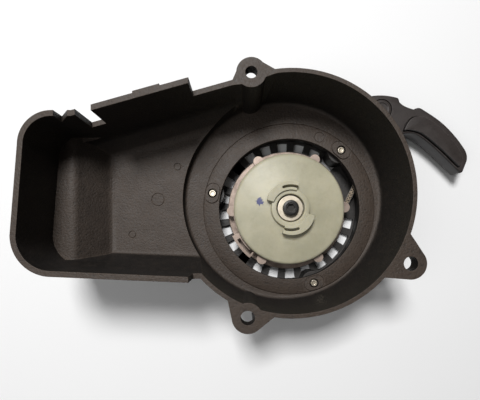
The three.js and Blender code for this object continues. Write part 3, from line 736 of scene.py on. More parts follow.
@dataclass(frozen=True)
class Nylon(Finish):
    """Milky nylon, a little yellowed, with mould swirls, one dab of marking ink and painted shade in its
    corners.
    """

    colour: Tone = (0.46, 0.43, 0.31)
    second: Tone = (0.37, 0.35, 0.25)
    ink: Tone = (0.004, 0.012, 0.13)
    shade_and_soil: Tone = (0.2, 0.17, 0.11)
    pale: Tone = (0.66, 0.62, 0.46)
    ink_place: Pair = (-16.2, 3.5)
    ink_radius: float = 3.0

    def build(self) -> bpy.types.Material:
        """Builds the nylon."""
        material, graph, shader = self.start()
        drift = self.drift(graph, self.colour, self.second, 55.0)
        dust_and_shade = Effects.place(graph, "dust_and_shade", Reach=0.003, Amount=0.5).outputs["Mask"]
        wear = Effects.place(graph, "edge_wear", Radius=0.0006, Amount=0.5).outputs["Mask"]
        grain = Effects.place(graph, "moulded_grain", Scale=700.0, Waviness=0.8)
        split = graph.split(graph.here())
        east = graph.math("SUBTRACT", split["X"], self.ink_place[0] * MM)
        north = graph.math("SUBTRACT", split["Y"], self.ink_place[1] * MM)
        ragged = graph.plus(graph.hypot(east, north), graph.swing(graph.noise(600.0, 3.0), 0.005))
        radius = self.ink_radius * MM
        inked = graph.span(ragged, radius * 0.8, radius * 0.45, 0.0, 0.95)
        # Corners and recesses are darkened: painted shade, with some dirt from a cloud of noise.
        shaded_soiled = graph.mix(graph.times(dust_and_shade, 0.7), drift, tone(self.shade_and_soil))
        rubbed = graph.mix(wear, shaded_soiled, tone(self.pale))
        graph.feed(shader.inputs["Base Color"], graph.mix(inked, rubbed, tone(self.ink)))
        shader.inputs["Subsurface Weight"].default_value = 0.35
        shader.inputs["Subsurface Radius"].default_value = (0.003, 0.0025, 0.0015)
        shader.inputs["Subsurface Scale"].default_value = 1.0
        graph.feed(shader.inputs["Roughness"], graph.span(grain.outputs["Height"], 0.3, 0.9, 0.3, 0.46))
        graph.feed(shader.inputs["Normal"], self.bump(graph, grain.outputs["Height"], 0.35, 0.0001, 0.0004))
        return material


@dataclass(frozen=True)
class Metal(Finish):
    """Bare metal, or metal under a coat, with turning marks, tarnish, bright edges and painted shade in its
    corners.
    """

    colour: Tone = (0.6, 0.56, 0.5)
    second: Tone = (0.45, 0.41, 0.37)
    bright: Tone = (0.85, 0.82, 0.77)
    shade_and_soot: Tone = (0.05, 0.04, 0.032)
    roughness: float = 0.34
    metallic: float = 1.0
    marks: float = 6000.0
    bumpiness: float = 0.3
    shade_and_grime: float = 0.4

    def build(self) -> bpy.types.Material:
        """Builds the metal."""
        material, graph, shader = self.start()
        drift = self.drift(graph, self.colour, self.second, 130.0)
        marks = Effects.place(graph, "turning_marks", Fineness=self.marks, Scratches=0.7).outputs["Height"]
        wear = Effects.place(graph, "edge_wear", Radius=0.0004, Amount=0.9).outputs["Mask"]
        dust_and_shade = Effects.place(graph, "dust_and_shade", Reach=0.0025, Amount=self.shade_and_grime).outputs["Mask"]
        rubbed = graph.mix(wear, drift, tone(self.bright))
        # Corners and recesses are darkened: painted shade, with some dirt from a cloud of noise.
        graph.feed(shader.inputs["Base Color"], graph.mix(dust_and_shade, rubbed, tone(self.shade_and_soot)))
        shader.inputs["Metallic"].default_value = self.metallic
        rough = graph.span(marks, 0.4, 1.2, self.roughness - 0.08, self.roughness + 0.12)
        graph.feed(shader.inputs["Roughness"], graph.plus(rough, graph.times(dust_and_shade, 0.35)))
        graph.feed(shader.inputs["Normal"], self.bump(graph, marks, self.bumpiness, 0.00004, 0.0002))
        return material


@dataclass(frozen=True)
class BraidedCord(Finish):
    """Braided polyester cord: pale crowns, painted shade in the gaps between strands, and fine fibres."""

    crown: Tone = (0.34, 0.27, 0.19)
    second: Tone = (0.26, 0.2, 0.14)
    painted_gap_shade: Tone = (0.012, 0.009, 0.007)

    def build(self) -> bpy.types.Material:
        """Builds the cord."""
        material, graph, shader = self.start()
        drift = self.drift(graph, self.crown, self.second, 500.0)
        strand = graph.add("ShaderNodeAttribute", attribute_name="strand").outputs["Fac"]
        fibres = graph.noise(7000.0, 3.0, 0.7)
        # The gaps between strands go near black: painted shade where the crowns would shadow them.
        lit = graph.span(graph.plus(strand, graph.swing(fibres, 0.4)), 0.3, 0.7)
        graph.feed(shader.inputs["Base Color"], graph.mix(lit, tone(self.painted_gap_shade), drift))
        shader.inputs["Roughness"].default_value = 0.8
        shader.inputs["Sheen Weight"].default_value = 0.35
        graph.feed(shader.inputs["Normal"], self.bump(graph, fibres, 0.6, 0.0002))
        return material


@dataclass(frozen=True)
class StudioFloor(Finish):
    """The plain pale floor."""

    first: Tone = (0.86, 0.86, 0.86)
    second: Tone = (0.89, 0.89, 0.89)

    def build(self) -> bpy.types.Material:
        """Builds the floor's material."""
        material, graph, shader = self.start()
        pale = graph.mix(graph.noise(3.0), tone(self.first), tone(self.second))
        graph.feed(shader.inputs["Base Color"], pale)
        shader.inputs["Roughness"].default_value = 0.9
        return material


# The lighter top tone of each plastic is painted light on its upward faces.
SHROUD_PLASTIC = MouldedPlastic(
    "shroud_plastic", colour=(0.006, 0.0046, 0.0038), second=(0.009, 0.007, 0.0056),
    painted_top_light=(0.052, 0.035, 0.024), worn=(0.095, 0.067, 0.049), dusty=(0.065, 0.045, 0.032),
    roughness=0.52, grain=950.0, depth=0.00045, dust_and_shade=0.4)
COVER_PLASTIC = MouldedPlastic(
    "cover_plastic", colour=(0.008, 0.0075, 0.0075), second=(0.013, 0.012, 0.011),
    painted_top_light=(0.02, 0.017, 0.015), worn=(0.06, 0.052, 0.048), dusty=(0.05, 0.042, 0.036),
    roughness=0.42, dust_and_shade=0.35)
HANDLE_PLASTIC = MouldedPlastic(
    "handle_plastic", colour=(0.01, 0.008, 0.008), second=(0.014, 0.0115, 0.0105),
    painted_top_light=(0.034, 0.026, 0.023), worn=(0.09, 0.075, 0.07), dusty=(0.08, 0.066, 0.058),
    roughness=0.4, grain=2200.0, depth=0.00006, dust_and_shade=0.25, wear=0.8)
NYLON = Nylon("nylon")
CAST_ALLOY = Metal("cast_alloy", colour=(0.36, 0.285, 0.24), second=(0.27, 0.21, 0.175),
                   bright=(0.66, 0.54, 0.44), roughness=0.5, metallic=0.6, bumpiness=0.6)
STEEL = Metal("steel", colour=(0.62, 0.55, 0.44), second=(0.52, 0.46, 0.36), roughness=0.36)
SPRING_STEEL = Metal("spring_steel", colour=(0.2, 0.2, 0.21), second=(0.13, 0.13, 0.14),
                     bright=(0.5, 0.5, 0.52), roughness=0.3)
BLACK_STEEL = Metal("black_steel", colour=(0.02, 0.019, 0.018), second=(0.03, 0.028, 0.026),
                    bright=(0.16, 0.15, 0.14), roughness=0.36, metallic=0.6)
BRONZE = Metal("bronze", colour=(0.5, 0.33, 0.16), second=(0.4, 0.25, 0.12), bright=(0.75, 0.55, 0.3))
CORD = BraidedCord("rope")
FLOOR_FINISH = StudioFloor("studio_floor")


def dress(obj: bpy.types.Object, finish: Finish) -> None:
    """Gives an object one finish all over."""
    obj.data.materials.clear()
    obj.data.materials.append(finish.material())


def place(obj: bpy.types.Object, body: Body, finish: Finish, *nodes: str) -> None:
    """Dresses a new piece, sets it on its body and hides the CAD nodes that it stands for.

    Args:
        obj: The piece.
        body: The body that it moves with.
        finish: Its finish.
        *nodes: The CAD nodes that it stands for.
    """
    dress(obj, finish)
    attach(obj, body.value)
    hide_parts(*nodes)
    LOG.info("%s rides on %s, %d vertices", obj.name, body.value, len(obj.data.vertices))


# ---- sub-assemblies -------------------------------------------------------------------------


@dataclass
class FanShroud:
    """The open bowl round the fan, its air duct and its three ears."""

    bowl: Pair = (-3.4, 4.4)
    bowl_radius: float = 53.8
    draft: float = 0.5
    wall: float = 2.4
    floor: float = 2.5
    floor_z: float = 15.0
    rim_z: float = 48.0
    edge: float = 3.0
    fillet: float = 2.2
    duct_end: float = -121.2
    duct_top: float = 36.8
    duct_bottom: float = -31.6
    step_x: float = -48.0
    rim_rise: float = 13.0
    floor_rise: float = 5.0
    ramp: Pair = (-94.4, -108.7)
    shelf_rise: float = 18.5
    slope: float = 0.28
    top_bend: float = -96.0
    corners: Pair = (14.0, 17.0)
    end_lean: float = 3.0
    bottom_drop: float = 2.4
    top_chamfer: Pair = (7.0, 8.0)
    bottom_chamfer: Pair = (5.6, 24.0)
    upper_run: Pair = (18.0, 0.62)  # length past the step, slope kept
    ramp_rounding: Pair = (3.0, 2.5)  # at its foot, at its head
    slant_rounding: float = 2.5
    slot: tuple[float, float, float] = (-91.2, 6.5, 16.0)  # x, width, depth
    vee: tuple[float, float, float] = (-103.4, -97.6, 7.0)  # left, right, depth
    rim_pad: tuple[float, float, float, float] = (-71.0, -60.0, 0.8, 6.0)  # start, end, out, height
    ear_thick: float = 6.5
    ear_spread: Pair = (13.0, 62.0)  # degrees at the root, at the tip
    tool_radius: float = 4.8
    tool_wall: float = 2.0
    top_ear: tuple[Pair, float, float] = ((-21.7, 58.7), 6.6, 2.75)
    low_ear: tuple[Pair, float, float] = ((-23.3, -51.6), 7.2, 3.25)
    side_ear: tuple[Pair, float, float] = ((49.9, -27.2), 7.2, 3.25)
    ring: tuple[float, float, float] = (38.3, 46.4, 0.6)  # inner, outer, rise
    pad: tuple[float, float, float] = (10.6, 7.1, 0.5)  # length, width, rise
    screw_hole: float = 2.45
    line: Pair = (0.35, 0.3)  # width, depth on the ring
    mark_line: Pair = (0.4, 0.35)  # width, depth on the duct's floor
    ring_mark: tuple[float, float, float] = (42.3, 67.0, 2.5)  # circle, degrees, radius
    marks: tuple[tuple[float, float, float], ...] = (  # x, y, radius
        (-70.4, 4.6, 3.5), (-84.0, -14.0, 2.0), (-60.0, 22.0, 2.0))

    @property
    def under_z(self) -> float:
        """Underside of the bowl's floor."""
        return self.floor_z - self.floor

    @property
    def duct_rim_z(self) -> float:
        """Rim of the duct."""
        return self.rim_z + self.rim_rise

    @property
    def duct_floor_z(self) -> float:
        """Floor of the duct."""
        return self.floor_z + self.floor_rise

    @property
    def shelf_z(self) -> float:
        """Raised shelf at the duct's far end."""
        return self.floor_z + self.shelf_rise

    def upper_wall(self, x: float, inset: float) -> float:
        """Gives the upper wall's place in plan at x."""
        return self.duct_top - inset + self.slope * (x - self.top_bend)

    def lower_wall(self, x: float, inset: float) -> float:
        """Gives the lower wall's place in plan at x."""
        bend = self.duct_end + self.corners[1]
        drop = self.bottom_drop / (self.step_x - bend)
        return self.duct_bottom + inset - drop * (x - bend)

    def duct_plan(self, inset: float) -> list[Pair]:
        """Gives the duct's outline in plan, drawn in by an inset."""
        left = self.duct_end + inset
        top = self.duct_top - inset
        low = self.duct_bottom + inset
        top_r = self.corners[0] - inset
        low_r = self.corners[1] - inset
        lean = self.end_lean * (top - self.duct_bottom) / (self.duct_top - self.duct_bottom)
        reach = self.bowl[0]
        length, kept = self.upper_run
        run = self.step_x + length
        return [
            (reach, self.upper_wall(self.step_x + (reach - self.step_x) * kept, inset)),
            (run, self.upper_wall(run, inset)),
            (self.top_bend, top),
            *arc((left + lean + top_r, top - top_r), top_r, 90, 180, 16),
            *arc((left + low_r, low + low_r), low_r, 180, 270, 16),
            (self.step_x, low - self.bottom_drop),
            (reach, low - self.bottom_drop),
        ]

    def duct_side(self, floor: float, shelf: float, shift: float, top: float, step_top: float) -> list[Pair]:
        """Gives the duct's side view, from its floor and ramp to its stepped rim."""
        foot = (self.ramp[0] + shift, floor)
        head = (self.ramp[1] + shift, shelf)
        foot_radius, head_radius = self.ramp_rounding
        soft_foot = rounded([(foot[0] + 4 * foot_radius, floor), foot, head], foot_radius)[6:12]
        soft_head = rounded([foot, head, (head[0] - 6, shelf)], head_radius)[6:12]
        end = self.duct_end - self.wall
        return [
            (self.bowl[0], floor), (self.bowl[0], step_top), (self.step_x, step_top), (self.step_x, top),
            (end, top), (end, shelf), *soft_head[::-1], *soft_foot[::-1],
        ]

    def duct_corner_bars(self, inset: float, floor: float) -> Solid:
        """Makes the two bars that slant the corners between the duct's floor and its walls."""

        def section(chamfer: Pair) -> list[Pair]:
            """Gives a bar's section, soft where the slant meets floor and wall."""
            foot = (chamfer[0], floor)
            head = (0.0, floor + chamfer[1])
            corners = [(chamfer[0] + 8, floor), foot, head, (0.0, head[1] + 8)]
            soft = rounded(corners, self.slant_rounding)[6:18]
            side = chamfer[0] + 3
            return [(-BEYOND, floor - BEYOND), (side, floor - BEYOND), (side, floor - 0.001),
                    *soft, (-BEYOND, head[1] + 2)]

        far = self.duct_end - BEYOND
        near_upper = (BEYOND, self.upper_wall(BEYOND, inset))
        far_upper = (far, self.upper_wall(far, inset))
        near_lower = (BEYOND, self.lower_wall(BEYOND, inset))
        far_lower = (far, self.lower_wall(far, inset))
        upper = bar(section(self.top_chamfer), near_upper, far_upper)
        return upper.join(bar(section(self.bottom_chamfer), far_lower, near_lower))

    def ear_bearing(self, centre: Pair) -> float:
        """Gives the direction of an ear from the bowl's middle, in degrees."""
        return math.degrees(math.atan2(centre[1] - self.bowl[1], centre[0] - self.bowl[0]))

    def ear_plate(self, centre: Pair, radius: float, low: float) -> Solid:
        """Makes an ear's plate from a height up to the rim, rooted in the bowl's wall."""
        bearing = self.ear_bearing(centre)
        root = self.bowl_radius + self.draft + GAP
        foot, tip = self.ear_spread
        outline = [
            polar(root, bearing - foot, self.bowl),
            *arc(centre, radius, bearing - tip, bearing + tip, 24),
            polar(root, bearing + foot, self.bowl),
        ]
        return prism(outline, low, self.rim_z)

    def tool_room(self, centre: Pair) -> Solid:
        """Makes the room below an ear for the bolt's head, open to the outside."""
        low = self.under_z - CUT
        high = self.rim_z - self.ear_thick
        half = self.tool_radius
        far = polar(BEYOND, self.ear_bearing(centre), centre)
        channel = bar([(-half, low), (half, low), (half, high), (-half, high)], centre, far)
        return disc(half, low, high, centre).join(channel)

    def bowl_room(self) -> Solid:
        """Makes the space inside the bowl, with a fillet round its floor."""
        r = self.bowl_radius
        floor = self.floor_z
        fillet = arc((r - self.fillet, floor + self.fillet), self.fillet, -90, 0, 6)
        high = self.duct_rim_z + CUT
        return revolve([(0, floor), *fillet, (r + self.draft, self.rim_z), (r + self.draft, high), (0, high)],
                       FINE, self.bowl)

    def duct_room(self) -> Solid:
        """Makes the space inside the duct."""
        reach = self.duct_top + self.bowl_radius + BEYOND
        high = self.duct_rim_z + CUT
        room = prism(self.duct_plan(self.wall), self.under_z, high)
        room.keep(side_prism(self.duct_side(self.duct_floor_z, self.shelf_z, 0.0, high, high), -reach, reach))
        return room.cut(self.duct_corner_bars(self.wall, self.duct_floor_z))

    def shell(self) -> Solid:
        """Makes the bowl and the duct as one hollow wall."""
        outer = self.bowl_radius + self.wall
        under = arc((outer - self.edge, self.under_z + self.edge), self.edge, -90, 0, 8)
        bowl = revolve([(0, self.under_z), *under, (outer, self.rim_z), (0, self.rim_z)], FINE, self.bowl)
        reach = self.duct_top + self.bowl_radius + BEYOND
        duct_under = self.duct_floor_z - self.floor
        duct = prism(self.duct_plan(0.0), self.under_z, self.duct_rim_z)
        side = self.duct_side(duct_under, self.shelf_z - self.floor, -1.0, self.duct_rim_z, self.rim_z)
        duct.keep(side_prism(side, -reach, reach))
        duct.cut(self.duct_corner_bars(0.0, duct_under))
        start, end, out, height = self.rim_pad
        pad = [(start, self.upper_wall(start, CUT)), (end, self.upper_wall(end, CUT)),
               (end, self.upper_wall(end, -out)), (start, self.upper_wall(start, -out))]
        duct.join(prism(pad, self.duct_rim_z - height, self.duct_rim_z))
        return bowl.join(duct).cut(self.bowl_room()).cut(self.duct_room())

    def build(self) -> None:
        """Builds the shroud and sets it on the housing."""
        body = self.shell()
        for centre, radius, _ in (self.top_ear, self.low_ear, self.side_ear):
            plate = self.ear_plate(centre, radius, self.rim_z - self.ear_thick)
            body.join(plate.cut(self.bowl_room()).cut(self.duct_room()))
        cheek = self.ear_plate(self.top_ear[0], self.top_ear[1], self.floor_z)
        body.join(cheek.keep(self.bowl_room()).cut(self.duct_room()))
        for centre, _, _ in (self.top_ear, self.low_ear):
            post = disc(self.tool_radius + self.tool_wall, self.under_z, self.rim_z, centre)
            body.join(post).cut(self.tool_room(centre))
        for centre, _, hole in (self.top_ear, self.low_ear, self.side_ear):
            body.cut(disc(hole, self.under_z - CUT, self.rim_z + CUT, centre))
        self.cut_notches(body)
        self.add_ring(body)
        place(body.piece("fan_shroud_shell"), Body.HOUSING, SHROUD_PLASTIC, "fan_shroud")

    def cut_notches(self, body: Solid) -> None:
        """Cuts the two notches in the duct's upper rim."""
        low = self.duct_top - 3 * self.wall
        high = self.duct_top + 3 * self.wall
        above = self.duct_rim_z + CUT
        x, width, depth = self.slot
        body.cut(block((x - width / 2, x + width / 2), (low, high), (self.duct_rim_z - depth, above)))
        left, right, deep = self.vee
        notch = [(left, above), (left, self.duct_rim_z - deep), (right, self.duct_rim_z), (right, above)]
        body.cut(side_prism(notch, low, high))

    def add_ring(self, body: Solid) -> None:
        """Adds the raised ring with its screw pads, and cuts the round opening and the marks."""
        inner, outer, rise = self.ring
        length, width, pad_rise = self.pad
        line, deep = self.line
        top = self.floor_z + rise
        body.cut(tube_ring(outer, outer + line, self.floor_z - line, self.floor_z + CUT, FINE))
        step = revolve([(0, self.floor_z - CUT), (outer, self.floor_z - CUT), (outer, self.floor_z),
                        (outer, top - 0.15), (outer - 0.25, top), (0, top)], FINE)
        body.join(step)
        for degrees in SCREW_DEGREES:
            centre = polar(SCREW_CIRCLE, degrees)
            around = stadium(centre, length + 2 * line, width + 2 * line, degrees + 90)
            body.cut(prism(around, top - deep, top + CUT))
            body.join(prism(stadium(centre, length, width, degrees + 90), self.floor_z, top + pad_rise))
        body.cut(disc(inner, self.under_z - CUT, top + 4 * CUT, (0, 0), FINE))
        for degrees in SCREW_DEGREES:
            centre = polar(SCREW_CIRCLE, degrees)
            body.cut(disc(self.screw_hole, self.under_z - CUT, top + 4 * CUT, centre))
        self.cut_marks(body, top)

    def cut_marks(self, body: Solid, top: float) -> None:
        """Cuts the ejector marks into the duct's floor and the one on the ring's top."""
        line, deep = self.mark_line
        for x, y, radius in self.marks:
            low = self.duct_floor_z - deep
            body.cut(tube_ring(radius - line, radius, low, self.duct_floor_z + CUT, SMALL, (x, y)))
        circle, degrees, radius = self.ring_mark
        line, deep = self.line
        body.cut(tube_ring(radius, radius + line, top - deep, top + CUT, SMALL, polar(circle, degrees)))


@dataclass
class RopePath:
    """The rope's line out of the reel, through the eyelet and into the handle."""

    radius: float = 1.4
    height: float = 8.0
    wind_radius: float = 28.6
    bearing: float = 64.2
    nose_end: float = 51.7
    lip: float = 1.0
    knot: Pair = (51.8, 55.4)

    @property
    def start(self) -> Pair:
        """Plan point where the rope leaves the coil at a tangent."""
        return polar(self.wind_radius, self.bearing - 90)

    def along(self, distance: float) -> Pair:
        """Gives the plan point at a distance from the tangent point."""
        return polar(distance, self.bearing, self.start)

    @property
    def mouth(self) -> Pair:
        """Plan point at the eyelet's outer face."""
        return self.along(self.nose_end + self.lip)

    @property
    def pull_bearing(self) -> float:
        """Direction from the eyelet to the handle's knot, in degrees."""
        return math.degrees(math.atan2(self.knot[1] - self.mouth[1], self.knot[0] - self.mouth[0]))

    @property
    def reach(self) -> float:
        """Distance from the eyelet's outer face to the knot."""
        return math.dist(self.knot, self.mouth)

    def beyond(self, distance: float) -> Pair:
        """Gives the plan point at a distance past the eyelet, towards the knot."""
        return polar(distance, self.pull_bearing, self.mouth)


ROPE = RopePath()


def skin(mesh: bmesh.types.BMesh, rings: Sequence[Sequence[bmesh.types.BMVert]]) -> None:
    """Lays faces between neighbouring rings of equal count."""
    for low, high in zip(rings, rings[1:]):
        for k in range(len(low)):
            j = (k + 1) % len(low)
            mesh.faces.new((low[k], low[j], high[j], high[k]))


def braided_tube(name: str, route: Sequence[Vector], radius: float, sides: int = 16,
                 pitch: float = 3.4) -> bpy.types.Object:
    """Makes a braided cord along a route, with its strands in relief.

    Args:
        name: The piece's name.
        route: Points in millimetres, close enough together to show the braid.
        radius: Greatest radius of the cord.
        sides: Points round the cord.
        pitch: Length in which the braid repeats.

    Returns:
        The piece, closed at both ends, with a "strand" attribute that is 1 on the crowns.
    """
    mesh = bmesh.new()
    layer = mesh.verts.layers.float.new("strand")
    rings: list[list[bmesh.types.BMVert]] = []
    travelled = 0.0
    normal = Vector((0.0, 0.0, 1.0))
    for i, point in enumerate(route):
        before = route[max(i - 1, 0)]
        after = route[min(i + 1, len(route) - 1)]
        travelled += (point - before).length
        tangent = (after - before).normalized()
        normal = (normal - tangent * normal.dot(tangent)).normalized()
        side = tangent.cross(normal)
        ring = []
        for k in range(sides):
            around = 2 * math.pi * k / sides
            phase = 2 * math.pi * travelled / pitch
            right = math.cos(2 * around + phase)
            left = math.cos(2 * around - phase)
            crown = max(abs(right), abs(left)) ** 1.5
            weave = 0.5 + 0.5 * right * left
            height = radius * (0.84 + 0.13 * crown + 0.03 * weave)
            vert = mesh.verts.new(point + (normal * math.cos(around) + side * math.sin(around)) * height)
            # The strand value is 1 on the crowns and 0 between strands, where the cord's material paints
            # shade.
            vert[layer] = min(1.0, max(0.0, 2.4 * crown - 1.35))
            ring.append(vert)
        rings.append(ring)
    skin(mesh, rings)
    for ring, flip in ((rings[0], True), (rings[-1], False)):
        middle = mesh.verts.new(sum((vert.co for vert in ring), Vector()) / sides)
        for k in range(sides):
            j = (k + 1) % sides
            mesh.faces.new((ring[j], ring[k], middle) if flip else (ring[k], ring[j], middle))
    return Solid(mesh).piece(name, crease=86.0)


def straight_route(start: Pair, end: Pair, height: float, step: float = 0.35) -> list[Vector]:
    """Gives evenly spaced points on a straight level line."""
    first = Vector((*start, height))
    last = Vector((*end, height))
    count = max(2, round((last - first).length / step))
    return [first.lerp(last, i / count) for i in range(count + 1)]


@dataclass
class StarterCover:
    """The vented cover behind the reel, with its screws, eyelet, post and mainspring."""

    radius: float = 40.3
    wall: float = 2.0
    top: float = 12.2
    flange_radius: float = 47.5
    flange: float = 2.5
    plate: float = 2.5
    vents: Pair = (33.6, 39.6)
    vent_pitch: float = 15.0
    vent_width: float = 8.9
    vent_wide: float = 13.4
    vent_blanks: int = 3
    pocket_radius: float = 4.5
    pocket_wall: float = 1.7
    boss: tuple[float, float, float, float] = (7.5, 8.8, 2.2, 0.8)  # radius, top, slit depth, slit half
    nose: tuple[float, float, float] = (6.0, 3.0, 30.0)  # half width, base, start
    face_rings: Pair = (29.5, 12.0)
    face_line: Pair = (0.9, 0.5)  # width, depth
    rays: tuple[int, float, float] = (24, 14.5, 27.5)  # count, inner, outer
    screw_radius: float = 2.0
    screw_room: float = 0.45
    screw_head: Pair = (3.7, 2.6)  # radius, height
    screw_tip: float = 15.9
    thread: Pair = (0.7, 0.22)  # pitch, depth
    recess: tuple[float, float, float] = (2.2, 0.4, 1.3)  # half length, half width, depth
    eyelet: tuple[float, float, float, float] = (1.9, 3.2, 4.1, 6.0)  # bore, radius, lip, length
    post: tuple[float, float, float, float] = (4.0, 18.2, 2.4, 9.0)  # radius, top, bore, bore's floor
    washer: tuple[float, float, float, float] = (2.7, 7.0, 18.7, 1.2)  # hole, radius, low, thickness
    bolt: tuple[float, float, float] = (2.1, 4.2, 2.9)  # shank, head, height
    socket: Pair = (2.3, 0.8)  # radius, floor above the seat
    knurl: tuple[int, float, float] = (36, 0.17, 0.06)  # count, radius, set out
    mainspring: tuple[float, ...] = (8.2, 18.0, 7.0, 0.5, 4.6, 8.9)  # inner, outer, turns, thick, low, high

    def cup(self) -> Solid:
        """Makes the cup with its flange and the guide that carries the rope out."""
        outer = self.radius + self.wall
        low = self.top - self.flange
        foot = arc((outer - 2.5, 2.5), 2.5, -90, 0, 8)
        shell = revolve([(0, 0), *foot, (outer, low), (self.flange_radius, low),
                         (self.flange_radius, self.top), (0, self.top)], FINE)
        half, base, start = self.nose
        section = rounded([(-half, base), (half, base), (half, self.top), (-half, self.top)], CORNER)
        guide = bar(section, ROPE.along(start), ROPE.along(ROPE.nose_end))
        return shell.join(guide).cut(disc(self.radius, self.plate, self.top + CUT, (0, 0), FINE))

    def cut_vents(self, body: Solid) -> None:
        """Cuts the windows all round but where the rope goes out."""
        count = round(360 / self.vent_pitch) - self.vent_blanks
        for k in range(count):
            middle = SCREW_DEGREES[0] + k * self.vent_pitch
            half = (self.vent_wide if k == 0 else self.vent_width) / 2
            window = rounded(sector(*self.vents, middle - half, middle + half, 6), CORNER)
            body.cut(prism(window, -CUT, self.plate + CUT))

    def build_cover(self) -> None:
        """Builds the cover itself."""
        body = self.cup()
        flange_low = self.top - self.flange
        limit = self.flange_radius
        for degrees in SCREW_DEGREES:
            centre = polar(SCREW_CIRCLE, degrees)
            post = disc(self.pocket_radius + self.pocket_wall, 0, self.top, centre)
            body.join(post.keep(disc(limit, -CUT, self.top, (0, 0), FINE)))
        for degrees in SCREW_DEGREES:
            centre = polar(SCREW_CIRCLE, degrees)
            body.cut(disc(self.pocket_radius, -CUT, flange_low, centre))
            body.cut(disc(self.screw_radius + self.screw_room, -CUT, self.top + CUT, centre))
        self.cut_vents(body)
        for degrees in SCREW_DEGREES:
            centre = polar(SCREW_CIRCLE, degrees)
            pocket = self.pocket_radius
            wall = tube_ring(pocket, pocket + self.pocket_wall, 0, self.top, SMALL, centre)
            body.join(wall.keep(disc(limit, -CUT, self.top, (0, 0), FINE)))
        radius, top, deep, half = self.boss
        boss = disc(radius, self.plate - CUT, top).cut(disc(self.post[0] + GAP, self.plate, top + CUT))
        body.join(boss)
        body.cut(block((radius - deep, radius + CUT), (-half, half), (self.mainspring[4] - GAP, top + CUT)))
        outside = ROPE.nose_end + CUT
        seat = ROPE.nose_end - self.eyelet[3] - GAP
        line = (ROPE.start, ROPE.bearing, ROPE.height)
        body.cut(level_rod(ROPE.radius + 0.9, self.nose[2] - 12, outside, *line))
        body.cut(level_rod(self.eyelet[1] + GAP, seat, outside, *line))
        self.cut_outer_face(body)
        place(body.piece("starter_cover_cup"), Body.HOUSING, COVER_PLASTIC, "starter_cover")

    def cut_outer_face(self, body: Solid) -> None:
        """Cuts two shallow rings and a ray of grooves into the cover's outer face."""
        width, depth = self.face_line
        for radius in self.face_rings:
            body.cut(tube_ring(radius, radius + width, -CUT, depth, FINE))
        count, inner, outer = self.rays
        half = width / 2
        for k in range(count):
            degrees = 360 * k / count
            body.cut(bar([(-half, -CUT), (half, -CUT), (half, depth), (-half, depth)],
                         polar(inner, degrees), polar(outer, degrees)))

    def build_screws(self) -> None:
        """Builds the three cover screws, whose tips show in the shroud's pads."""
        seat = self.top - self.flange - GAP
        head, height = self.screw_head
        r = self.screw_radius
        tip = self.screw_tip
        under = seat - height
        pitch, deep = self.thread
        long, short, floor = self.recess
        for i, degrees in enumerate(SCREW_DEGREES):
            centre = polar(SCREW_CIRCLE, degrees)
            threads: list[Pair] = []
            z = seat
            while z < tip - 1.0:
                threads += [(r - deep, z), (r, z + 0.3), (r, z + 0.38)]
                z += pitch
            profile = [(0, under), (head - 0.9, under), (head - 0.25, under + 0.35), (head, under + 1.0),
                       (head, seat), *threads, (r, tip - 0.45), (r - 0.4, tip), (1.25, tip),
                       (1.0, tip - 0.35), (0.6, tip - 0.45), (0, tip - 0.3)]
            body = revolve(profile, SMALL, centre)
            cross = block((-long, long), (-short, short), (under - CUT, under + floor))
            cross.join(block((-short, short), (-long, long), (under - CUT, under + floor)))
            turned = Matrix.Rotation(i + 0.4, 4, "Z")
            body.cut(cross.moved(Matrix.Translation((*centre, 0.0)) @ turned))
            place(body.piece(f"cover_screw_{i + 1}_turned"), Body.HOUSING, STEEL, f"cover_screw_{i + 1}")

    def build_eyelet(self) -> None:
        """Builds the pressed eyelet that the rope runs through."""
        bore, radius, lip, length = self.eyelet
        low = ROPE.nose_end - length
        face = ROPE.nose_end + GAP
        top = face + 1.0
        mouth = arc((bore + 0.55, top - 0.5), 0.5, 180, 90, 6)
        brim = arc((lip - 0.5, face + 0.5), 0.5, 90, -90, 8)
        profile = [(bore, low), (radius, low), (radius, face), *brim[::-1], *mouth[::-1], (bore, top - 0.9)]
        body = level_turned(profile, ROPE.start, ROPE.bearing, ROPE.height, MEDIUM)
        place(body.piece("rope_eyelet_pressed"), Body.HOUSING, STEEL, "rope_eyelet")

    def build_centre(self) -> None:
        """Builds the post, the retaining washer and the socket screw."""
        r, top, bore, bore_floor = self.post
        base = self.plate + GAP
        post = revolve([(0, base), (r - 0.4, base), (r, base + 0.4), (r, top - 0.4), (r - 0.4, top),
                        (bore + 0.3, top), (bore, top - 0.3), (bore, bore_floor), (0, bore_floor)], MEDIUM)
        place(post.piece("centre_post_turned"), Body.HOUSING, STEEL, "centre_post")
        hole, outer, low, thick = self.washer
        high = low + thick
        washer = revolve([(hole, low), (outer - 0.2, low), (outer, low + 0.2), (outer, high - 0.35),
                          (outer - 0.35, high), (hole + 0.15, high), (hole, high - 0.15)], MEDIUM)
        place(washer.piece("retaining_washer_stamped"), Body.HOUSING, STEEL, "retaining_washer")
        shank, head, height = self.bolt
        seat = high + 0.1
        crown = seat + height
        tip = bore_floor + GAP
        screw = revolve([(0, tip), (shank - 0.3, tip), (shank, tip + 0.3), (shank, seat),
                         (head - 0.1, seat), (head, seat + 0.1), (head, crown - 0.6),
                         (head - 0.18, crown - 0.18), (head - 0.6, crown), (2.75, crown),
                         (2.45, crown - 0.25), (0, crown - 0.25)], MEDIUM)
        socket_radius, socket_floor = self.socket
        screw.cut(disc(socket_radius, seat + socket_floor, crown + CUT, (0, 0), 6))
        count, radius, out = self.knurl
        for k in range(count):
            spot = polar(head + out, 360 * k / count)
            screw.cut(disc(radius, seat + 0.35, crown - 0.75, spot, 8))
        place(screw.piece("centre_bolt_socket_head"), Body.HOUSING, BLACK_STEEL, "centre_bolt")

